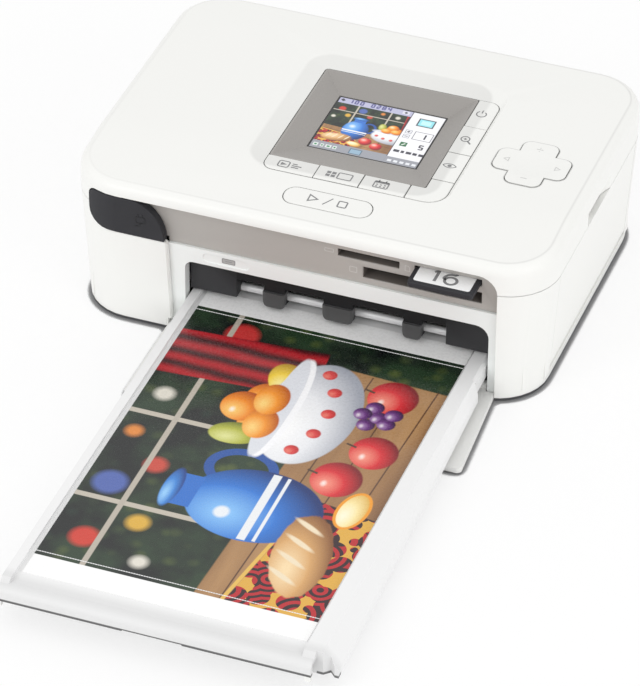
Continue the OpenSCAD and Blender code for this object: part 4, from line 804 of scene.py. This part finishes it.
def arc(cx, cy, r, a0=0.0, a1=360.0, n=28):
    return [(cx + r * math.cos(math.radians(a0 + (a1 - a0) * i / n)),
             cy + r * math.sin(math.radians(a0 + (a1 - a0) * i / n))) for i in range(n + 1)]


def bar(cx, cy, w, h):
    return [(cx - w / 2, cy - h / 2), (cx + w / 2, cy - h / 2), (cx + w / 2, cy + h / 2),
            (cx - w / 2, cy + h / 2)]


def rounded(cx, cy, w, h, r):
    points = []
    for x, y, a in ((w / 2 - r, h / 2 - r, 0), (r - w / 2, h / 2 - r, 90),
                    (r - w / 2, r - h / 2, 180), (w / 2 - r, r - h / 2, 270)):
        points += arc(cx + x, cy + y, r, a, a + 90, 5)
    return points


def ribbon(points, pen, closed):
    """Quads along a line of the width pen, mitred at its corners."""
    step = 0.7
    if closed:
        points = points + points[:1]
    dense = [points[0]]
    for a, b in zip(points, points[1:]):
        steps = max(1, int(math.dist(a, b) / step))
        dense += [(a[0] + (b[0] - a[0]) * i / steps, a[1] + (b[1] - a[1]) * i / steps)
                  for i in range(1, steps + 1)]
    sides = []
    for i, here in enumerate(dense):
        before = dense[i - 1] if i else (dense[-2] if closed else here)
        after = dense[i + 1] if i < len(dense) - 1 else (dense[1] if closed else here)
        dx = Vector((here[0] - before[0], here[1] - before[1]))
        dy = Vector((after[0] - here[0], after[1] - here[1]))
        dx = dx.normalized() if dx.length > 1e-9 else dy.normalized()
        dy = dy.normalized() if dy.length > 1e-9 else dx
        across = (dx + dy).normalized()
        reach = pen / 2 / max(0.5, across.dot(dx))
        sides.append(((here[0] - across.y * reach, here[1] + across.x * reach),
                      (here[0] + across.y * reach, here[1] - across.x * reach)))
    return [(a[0], a[1], b[1], b[0]) for a, b in zip(sides, sides[1:])]


SUNK = 0.02  # millimetres that the foot of a mark lies in its piece


def marks(name, node, material, origin, right, up, shapes, lift=0.03):
    """Thin printed or raised shapes laid on a piece; each shape is (points, pen), where a
    pen of 0 fills it, and a pen below 0 draws an open line."""
    ahead = 12 * MM
    source = frame["nodes"][node].data
    surface = BVHTree.FromPolygons([v.co for v in source.vertices],
                                   [p.vertices for p in source.polygons])
    right = Vector(right)
    up = Vector(up)
    out = right.cross(up)
    origin = Vector(origin)

    def on_surface(point, height):
        start = origin + (right * point[0] + up * point[1]) * MM + out * ahead
        place = surface.ray_cast(start, -out)[0]
        if place is None:
            place = start - out * ahead
        return place + out * height * MM

    bm = bmesh.new()
    for points, pen in shapes:
        loops = [points] if pen == 0 else ribbon(points, abs(pen), pen > 0)
        for loop in loops:
            top = [bm.verts.new(on_surface(p, lift)) for p in loop]
            low = [bm.verts.new(on_surface(p, -SUNK)) for p in loop]
            bm.faces.new(top)
            count = len(top)
            for i in range(count):
                j = (i + 1) % count
                bm.faces.new((top[i], low[i], low[j], top[j]))
    bmesh.ops.remove_doubles(bm, verts=bm.verts, dist=1e-6)
    bmesh.ops.recalc_face_normals(bm, faces=bm.faces)
    link_piece(name, bm, node, material)


# Edge radii in millimetres of the pieces that show
for node, width in (
        ("front_frame", 0.45), ("side_cover", 0.35), ("slot_door", 0.4), ("cable_cap", 0.5),
        ("cassette_lid", 0.5), ("display_bezel", 0.3), ("memory_card", 0.3),
        ("paper_guide", 0.9), ("key_power", 0.4), ("key_zoom", 0.4), ("key_eye", 0.4),
        ("key_mode", 0.4), ("key_layout", 0.4), ("key_date", 0.4), ("key_corner", 0.4),
        ("key_start", 0.5), ("power_inlet", 0.3), ("base_plate", 0.2),
        ("cartridge_case", 0.3), ("print_head", 0.3), ("cable_drum", 0.4)):
    refine(node, width)
for node, width in (("card_panel", 0.2), ("card_reader", 0.15)):
    refine(node, width, miter="MITER_SHARP", clamp=False)
refine("cassette_tray", 0.4, miter="MITER_SHARP", join=False)
refine("lower_case", 0.0, join=False)
refine("cross_key", 0.3, join=False)
refine("top_cover", 0.0, crease=17, join=False, fold=range(44, 64, 2))


def finger_shell(name, x0, x1):
    """Rounded shell on one of the arched fingers of the paper guide, from x0 to x1."""
    front = 26.4
    rear = 30.4
    low = 14.3
    high = 20.8
    corner = 1.9
    steps = 7
    places = [i / steps for i in range(steps + 1)]
    stations = [(corner * p, p) for p in places]
    stations += [(x1 - x0 - corner * p, p) for p in reversed(places)]
    bm = bmesh.new()
    rings = []
    for dx, p in stations:
        lift = corner - math.sqrt(max(0.0, corner ** 2 - (corner * (1 - p)) ** 2))
        y = front + 0.5 * (1 - p) ** 3
        z = low + lift
        ring = [(y, high), (y, z + 0.9), (y + 0.25, z + 0.3), (y + 0.8, z),
                (y + 1.3, z + 0.1), (rear - 0.3, z + 3.2), (rear, z + 4.0), (rear, high)]
        rings.append([bm.verts.new(((x0 + dx) * MM, b * MM, min(c, high) * MM))
                      for b, c in ring])
    loft(bm, rings)
    bmesh.ops.recalc_face_normals(bm, faces=bm.faces)
    for face in bm.faces:
        face.smooth = True
    for edge in bm.edges:
        edge.smooth = len(edge.link_faces) == 2 and edge.calc_face_angle() < math.radians(50)
    link_piece(name, bm, "paper_guide", "finger_lit_grey")


for i, (x0, x1) in enumerate(((-16.5, -8.3), (6.0, 17.2), (35.8, 42.8))):
    finger_shell("finger_shell_%d" % (i + 1), x0, x1)


def oblong(bm, x0, x1, y0, y1, z):
    """Ring of four points at one height, in millimetres."""
    return [bm.verts.new((x * MM, y * MM, z * MM))
            for x, y in ((x0, y0), (x1, y0), (x1, y1), (x0, y1))]


def plate(name, node, material, low, high, bevel=0.15):
    """A small flat filler, in millimetres, with rounded edges."""
    bm = bmesh.new()
    loft(bm, [oblong(bm, low[0], high[0], low[1], high[1], z) for z in (low[2], high[2])])
    bmesh.ops.bevel(bm, geom=bm.edges[:], offset=bevel * MM, segments=2, affect="EDGES")
    link_piece(name, bm, node, material)


# Tongues that close the finger cut-outs of the cassette's lid under the roller shaft
for i, x in enumerate((-26.8, 35.2)):
    plate("lid_tongue_%d" % (i + 1), "cassette_lid", "cassette_white",
          (x + 0.02, 32.4, 11.35), (x + 13.98, 37.45, 12.28), 0.1)
# Feet at the ends of the cassette's front wall
for i, (x0, x1) in enumerate(((-43.45, -42.0), (64.0, 66.35))):
    plate("lid_foot_%d" % (i + 1), "cassette_lid", "door_white",
          (x0, -147.4, 5.1), (x1, -145.95, 8.3))


def front_wedge():
    """Narrow wedge that makes the case's front edge lean beside the front frame."""
    left = -50.9
    front = 20.5
    rear = 22.8
    bm = bmesh.new()
    rings = [oblong(bm, left, right, front, rear, z)
             for z, right in ((4.75, -48.85), (36.9, -50.5))]
    loft(bm, rings)
    seam = bm.edges.get((rings[0][1], rings[1][1]))
    bmesh.ops.bevel(bm, geom=[seam], offset=0.35 * MM, segments=3, affect="EDGES")
    link_piece("front_wedge", bm, "lower_case", "white_casing")


front_wedge()
plate("front_foot", "lower_case", "white_casing", (-50.95, 20.55, 1.25), (-50.2, 22.7, 4.8),
      0.05)


# ---- marks on the pieces --------------------------------------------------------------

def key_mark(node, material, shapes, dx=0.0, dy=0.0, k=1.0):
    """Symbol on a key, dx and dy off the key's middle and k times as large."""
    low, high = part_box(node)
    shapes = [([(x * k, y * k) for x, y in points], pen * k) for points, pen in shapes]
    origin = Vector(((low.x + high.x) / 2 + dx * MM, (low.y + high.y) / 2 + dy * MM, high.z))
    marks(node + "_mark", node, material, origin, X, Y, shapes)


key_mark("key_power", "ink", [(arc(0, 0, 1.4, 125, 415), -0.34),
                              ([(0, 0.5), (0, 2.0)], -0.34)], -0.7, 0.1, k=1.25)
key_mark("key_zoom", "ink", [(arc(-0.3, 0.3, 1.2), 0.34), ([(0.6, -0.6), (1.7, -1.7)], -0.5),
                             (bar(-0.3, 0.3, 1.0, 0.26), 0), (bar(-0.3, 0.3, 0.26, 1.0), 0)],
         -0.6, 0.4, k=1.3)
lens = arc(0, -1.5, 2.5, 37, 143, 14) + arc(0, 1.5, 2.5, 217, 323, 14)
key_mark("key_eye", "ink", [(lens, 0.3), (arc(0, 0, 0.62, n=16)[:-1], 0)], -0.8, 0.6, k=1.2)
key_mark("key_mode", "ink", [(rounded(-2.2, 0, 2.6, 2.4, 0.5), 0.3),
                             ([(-2.9, -0.6), (-1.4, 0), (-2.9, 0.6)], 0),
                             (bar(0.4, 0.7, 1.2, 0.34), 0), (bar(1.0, 0, 2.4, 0.34), 0),
                             (bar(0.7, -0.7, 1.8, 0.34), 0)], 0.8, 0.1, k=1.5)
key_mark("key_layout", "ink", [(bar(x, y, 1.0, 0.9), 0) for x in (-2.6, -1.3)
                               for y in (-0.6, 0.6)]
         + [(rounded(1.5, 0, 3.4, 2.4, 0.3), 0.3)], 0.0, 0.1, k=1.5)
key_mark("key_date", "ink", [(rounded(0, -0.1, 3.6, 2.6, 0.3), 0.3),
                             (bar(0, 0.85, 3.4, 0.7), 0)]
         + [(bar(x, y, 0.45, 0.4), 0) for x in (-1.0, 0, 1.0) for y in (-0.1, -0.85)]
         + [(bar(x, 1.5, 0.3, 0.7), 0) for x in (-0.9, 0.9)], -1.2, 0.1, k=1.45)
key_mark("key_start", "ink", [([(-5.2, -1.25), (-2.8, 0), (-5.2, 1.25)], 0.36),
                              ([(-1.0, -1.5), (1.0, 1.5)], -0.3),
                              (rounded(4.0, 0, 2.3, 2.3, 0.3), 0.36)], 0.0, 0.0, k=1.35)
key_mark("cross_key", "pale_ink", [(bar(0, 9.4, 2.4, 0.36), 0), (bar(0, 9.4, 0.36, 2.4), 0),
                                   (bar(0, -9.4, 2.4, 0.36), 0),
                                   ([(-10.4, 0), (-8.6, 1.1), (-8.6, -1.1)], 0.3),
                                   ([(10.4, 0), (8.6, -1.1), (8.6, 1.1)], 0.3)])

# Card symbols on the panel: a stick, a wide card and a small card with a cut corner
low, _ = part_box("card_panel")
panel_face = low.y


def card_symbol(name, x, z, outline):
    marks(name, "card_panel", "panel_ink", (x * MM, panel_face, z * MM), X, Z,
          [(outline, 0.24)], 0.02)


def small_card(w, h, cut):
    return [(-w / 2, -h / 2), (w / 2, -h / 2), (w / 2, h / 2 - cut), (w / 2 - cut, h / 2),
            (-w / 2, h / 2)]


card_symbol("stick_symbol", 9.4, 47.2, rounded(0, 0, 3.2, 1.3, 0.2))
card_symbol("wide_symbol", 18.4, 41.2, rounded(0, 0, 2.6, 2.2, 0.2))
card_symbol("small_symbol", 38.3, 46.6, small_card(1.7, 2.1, 0.6))


def rim_points(node, low, high, level):
    """Points in order along the rim of a well in a piece's level face, in millimetres.

    The rim lies at the height level, between the corners low and high."""
    bm = bmesh.new()
    bm.from_mesh(frame["nodes"][node].data)
    clean_faces(bm, False)
    links = {}
    for edge in bm.edges:
        if len(edge.link_faces) != 2 or sum(f.normal.z > 0.9 for f in edge.link_faces) != 1:
            continue
        if all(low[0] < v.co.x / MM < high[0] and low[1] < v.co.y / MM < high[1]
               and abs(v.co.z / MM - level) < 0.03 for v in edge.verts):
            a, b = edge.verts
            links.setdefault(a, []).append(b)
            links.setdefault(b, []).append(a)
    start = here = next(iter(links))
    before = None
    rim = []
    while not rim or here is not start:
        rim.append((here.co.x / MM, here.co.y / MM))
        following = next(v for v in links[here] if v is not before)
        before, here = here, following
    bm.free()
    return rim


def rim_shade_line(name, node, low, high, level, pen, material):
    """Painted shade line on a piece's level face, round the rim of one of its wells: a fine
    dark strip laid where the gap beside it shades the face.
    """
    rise = 0.03
    rim = rim_points(node, low, high, level)
    count = len(rim)
    turn = sum(rim[i - 1][0] * rim[i][1] - rim[i][0] * rim[i - 1][1] for i in range(count))
    side = math.copysign(1.0, turn)

    def beside(i, distance):
        ahead = rim[(i + 1) % count]
        along = Vector((ahead[0] - rim[i - 1][0], ahead[1] - rim[i - 1][1])).normalized()
        return (rim[i][0] + along.y * side * distance, rim[i][1] - along.x * side * distance)

    bm = bmesh.new()
    for i in range(count):
        j = (i + 1) % count
        loop = [beside(i, 0.03), beside(j, 0.03), beside(j, pen), beside(i, pen)]
        top = [bm.verts.new((x * MM, y * MM, (level + rise) * MM)) for x, y in loop]
        foot = [bm.verts.new((x * MM, y * MM, (level - SUNK) * MM)) for x, y in loop]
        bm.faces.new(top)
        for a, b in ((0, 1), (2, 3)):
            bm.faces.new((top[a], foot[a], foot[b], top[b]))
    bmesh.ops.remove_doubles(bm, verts=bm.verts, dist=1e-6)
    bmesh.ops.recalc_face_normals(bm, faces=bm.faces)
    link_piece(name, bm, node, material)


# Painted shade line round the gap of the four-way key
rim_shade_line("cross_rim_shade", "top_cover", (49.0, 65.0), (80.0, 96.0), 60.3, 0.3, "rim_shade_grey")

# Label with a plain number on the memory card
low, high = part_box("memory_card")
mid = (low.x + high.x) / 2
label_w = (high.x - low.x) / MM - 3.4
marks("card_label", "memory_card", "label", (mid, low.y + 6.4 * MM, high.z), X, Y,
      [(rounded(0, 0, label_w, 9.4, 0.9), 0)], 0.05)
one = [([(-2.9, 1.5), (-1.9, 2.3), (-1.9, -2.4)], -1.1)]
six = [([(3.0, 2.3)] + arc(2.0, -0.2, 2.0, 80, 180, 10) + arc(2.0, -0.9, 1.55, 180, 540, 24),
        -1.05)]
marks("card_number", "memory_card", "ink", (mid - 0.5 * MM, low.y + 6.7 * MM, high.z), X, Y,
      [([(x * 1.4, y * 1.35) for x, y in points], pen) for points, pen in one + six], 0.08)

# Plug symbol raised on the cable cap
low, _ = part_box("cable_cap")
plug = [(rounded(0, 0.2, 3.4, 2.6, 0.6), 0.42), ([(-0.8, 1.6), (-0.8, 2.7)], -0.42),
        ([(0.8, 1.6), (0.8, 2.7)], -0.42),
        ([(0, -1.1), (0, -1.9), (-0.6, -2.5), (-2.0, -2.5)], -0.42)]
marks("cap_symbol", "cable_cap", "cap_mark", (-60.1 * MM, low.y, 44.6 * MM), X, Z, plug, 0.12)

# Symbol in the recess over the paper opening
low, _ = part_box("front_frame")
place = (-28.0 * MM, low.y, 32.9 * MM)
field = rounded(0, 0, 4.8, 1.9, 0.3)
marks("recess_field", "front_frame", "field_grey", place, X, Z, [(field, 0)], 0.04)
marks("recess_symbol", "front_frame", "ink", place, X, Z,
      [(field, 0.22), ([(-1.2, 0), (1.2, 0)], -0.2)], 0.06)


# ---- floor, light ---------------------------------------------------------------------

def add_floor():
    """Pale floor that looks like the backdrop, with a painted contact shadow: a thin dark line
    where pieces stand.
    """
    bm = bmesh.new()
    bmesh.ops.create_grid(bm, x_segments=8, y_segments=8, size=3.0)
    mesh = as_mesh("floor", bm)
    floor = bpy.data.objects.new("floor", mesh)
    floor.location = (0, 0, -0.2 * MM)
    bpy.context.scene.collection.objects.link(floor)
    g = Graph("floor")
    # Painted contact shadow: dark base colour and no glow where occlusion within 3.3 mm is
    # high
    close = g.node("ShaderNodeAmbientOcclusion", samples=16)
    close.inputs["Distance"].default_value = 3.3 * MM
    clear = g.span(close.outputs["AO"], 0.74, 0.82, 0.0, 1.0)
    pale = g.mix(g.noise(3.0, 2.0), (0.95, 0.95, 0.95), (0.965, 0.965, 0.965))
    g.set(Base_Color=g.mix(clear, (0.3, 0.3, 0.305), pale))
    g.set(Roughness=0.9)
    glow = g.node("ShaderNodeEmission")
    glow.inputs["Strength"].default_value = 1.0
    path = g.node("ShaderNodeLightPath")
    seen = g.math("MAXIMUM", path.outputs["Is Camera Ray"],
                  g.math("MAXIMUM", path.outputs["Is Glossy Ray"],
                         path.outputs["Is Transmission Ray"]))
    mixer = g.node("ShaderNodeMixShader")
    g.link(g.math("MULTIPLY", g.math("MULTIPLY", seen, clear), 0.7), mixer.inputs[0])
    g.link(g.shader.outputs[0], mixer.inputs[1])
    g.link(glow.outputs[0], mixer.inputs[2])
    g.link(mixer.outputs[0], g.output.inputs["Surface"])
    mesh.materials.append(g.material)


def add_light(name, place, aim, size, power):
    lamp = bpy.data.objects.new(name, bpy.data.lights.new(name, "AREA"))
    lamp.data.shape = "DISK"
    lamp.data.size = size
    lamp.data.energy = power
    lamp.location = place
    lamp.rotation_euler = (Vector(aim) - Vector(place)).to_track_quat("-Z", "Y").to_euler()
    bpy.context.scene.collection.objects.link(lamp)


def add_world():
    world = bpy.data.worlds.new("studio")
    world.use_nodes = True
    tree = world.node_tree
    tree.nodes.clear()
    out = tree.nodes.new("ShaderNodeOutputWorld")
    back = tree.nodes.new("ShaderNodeBackground")
    path = tree.nodes.new("ShaderNodeLightPath")
    seen = tree.nodes.new("ShaderNodeMath")
    seen.operation = "MAXIMUM"
    tree.links.new(path.outputs["Is Camera Ray"], seen.inputs[0])
    tree.links.new(path.outputs["Is Transmission Ray"], seen.inputs[1])
    level = tree.nodes.new("ShaderNodeMapRange")
    level.inputs["To Min"].default_value = 0.92
    level.inputs["To Max"].default_value = 1.0
    tree.links.new(seen.outputs[0], level.inputs["Value"])
    tree.links.new(level.outputs[0], back.inputs["Strength"])
    back.inputs["Color"].default_value = (1, 1, 1, 1)
    tree.links.new(back.outputs[0], out.inputs["Surface"])
    bpy.context.scene.world = world


add_floor()
add_world()
middle = (0, 0, 0.03)
add_light("key", (-0.9, -1.5, 1.2), middle, 0.9, 6.0)
add_light("fill", (1.6, -0.9, 1.0), middle, 1.2, 5.0)
bpy.context.scene.view_settings.view_transform = "Standard"
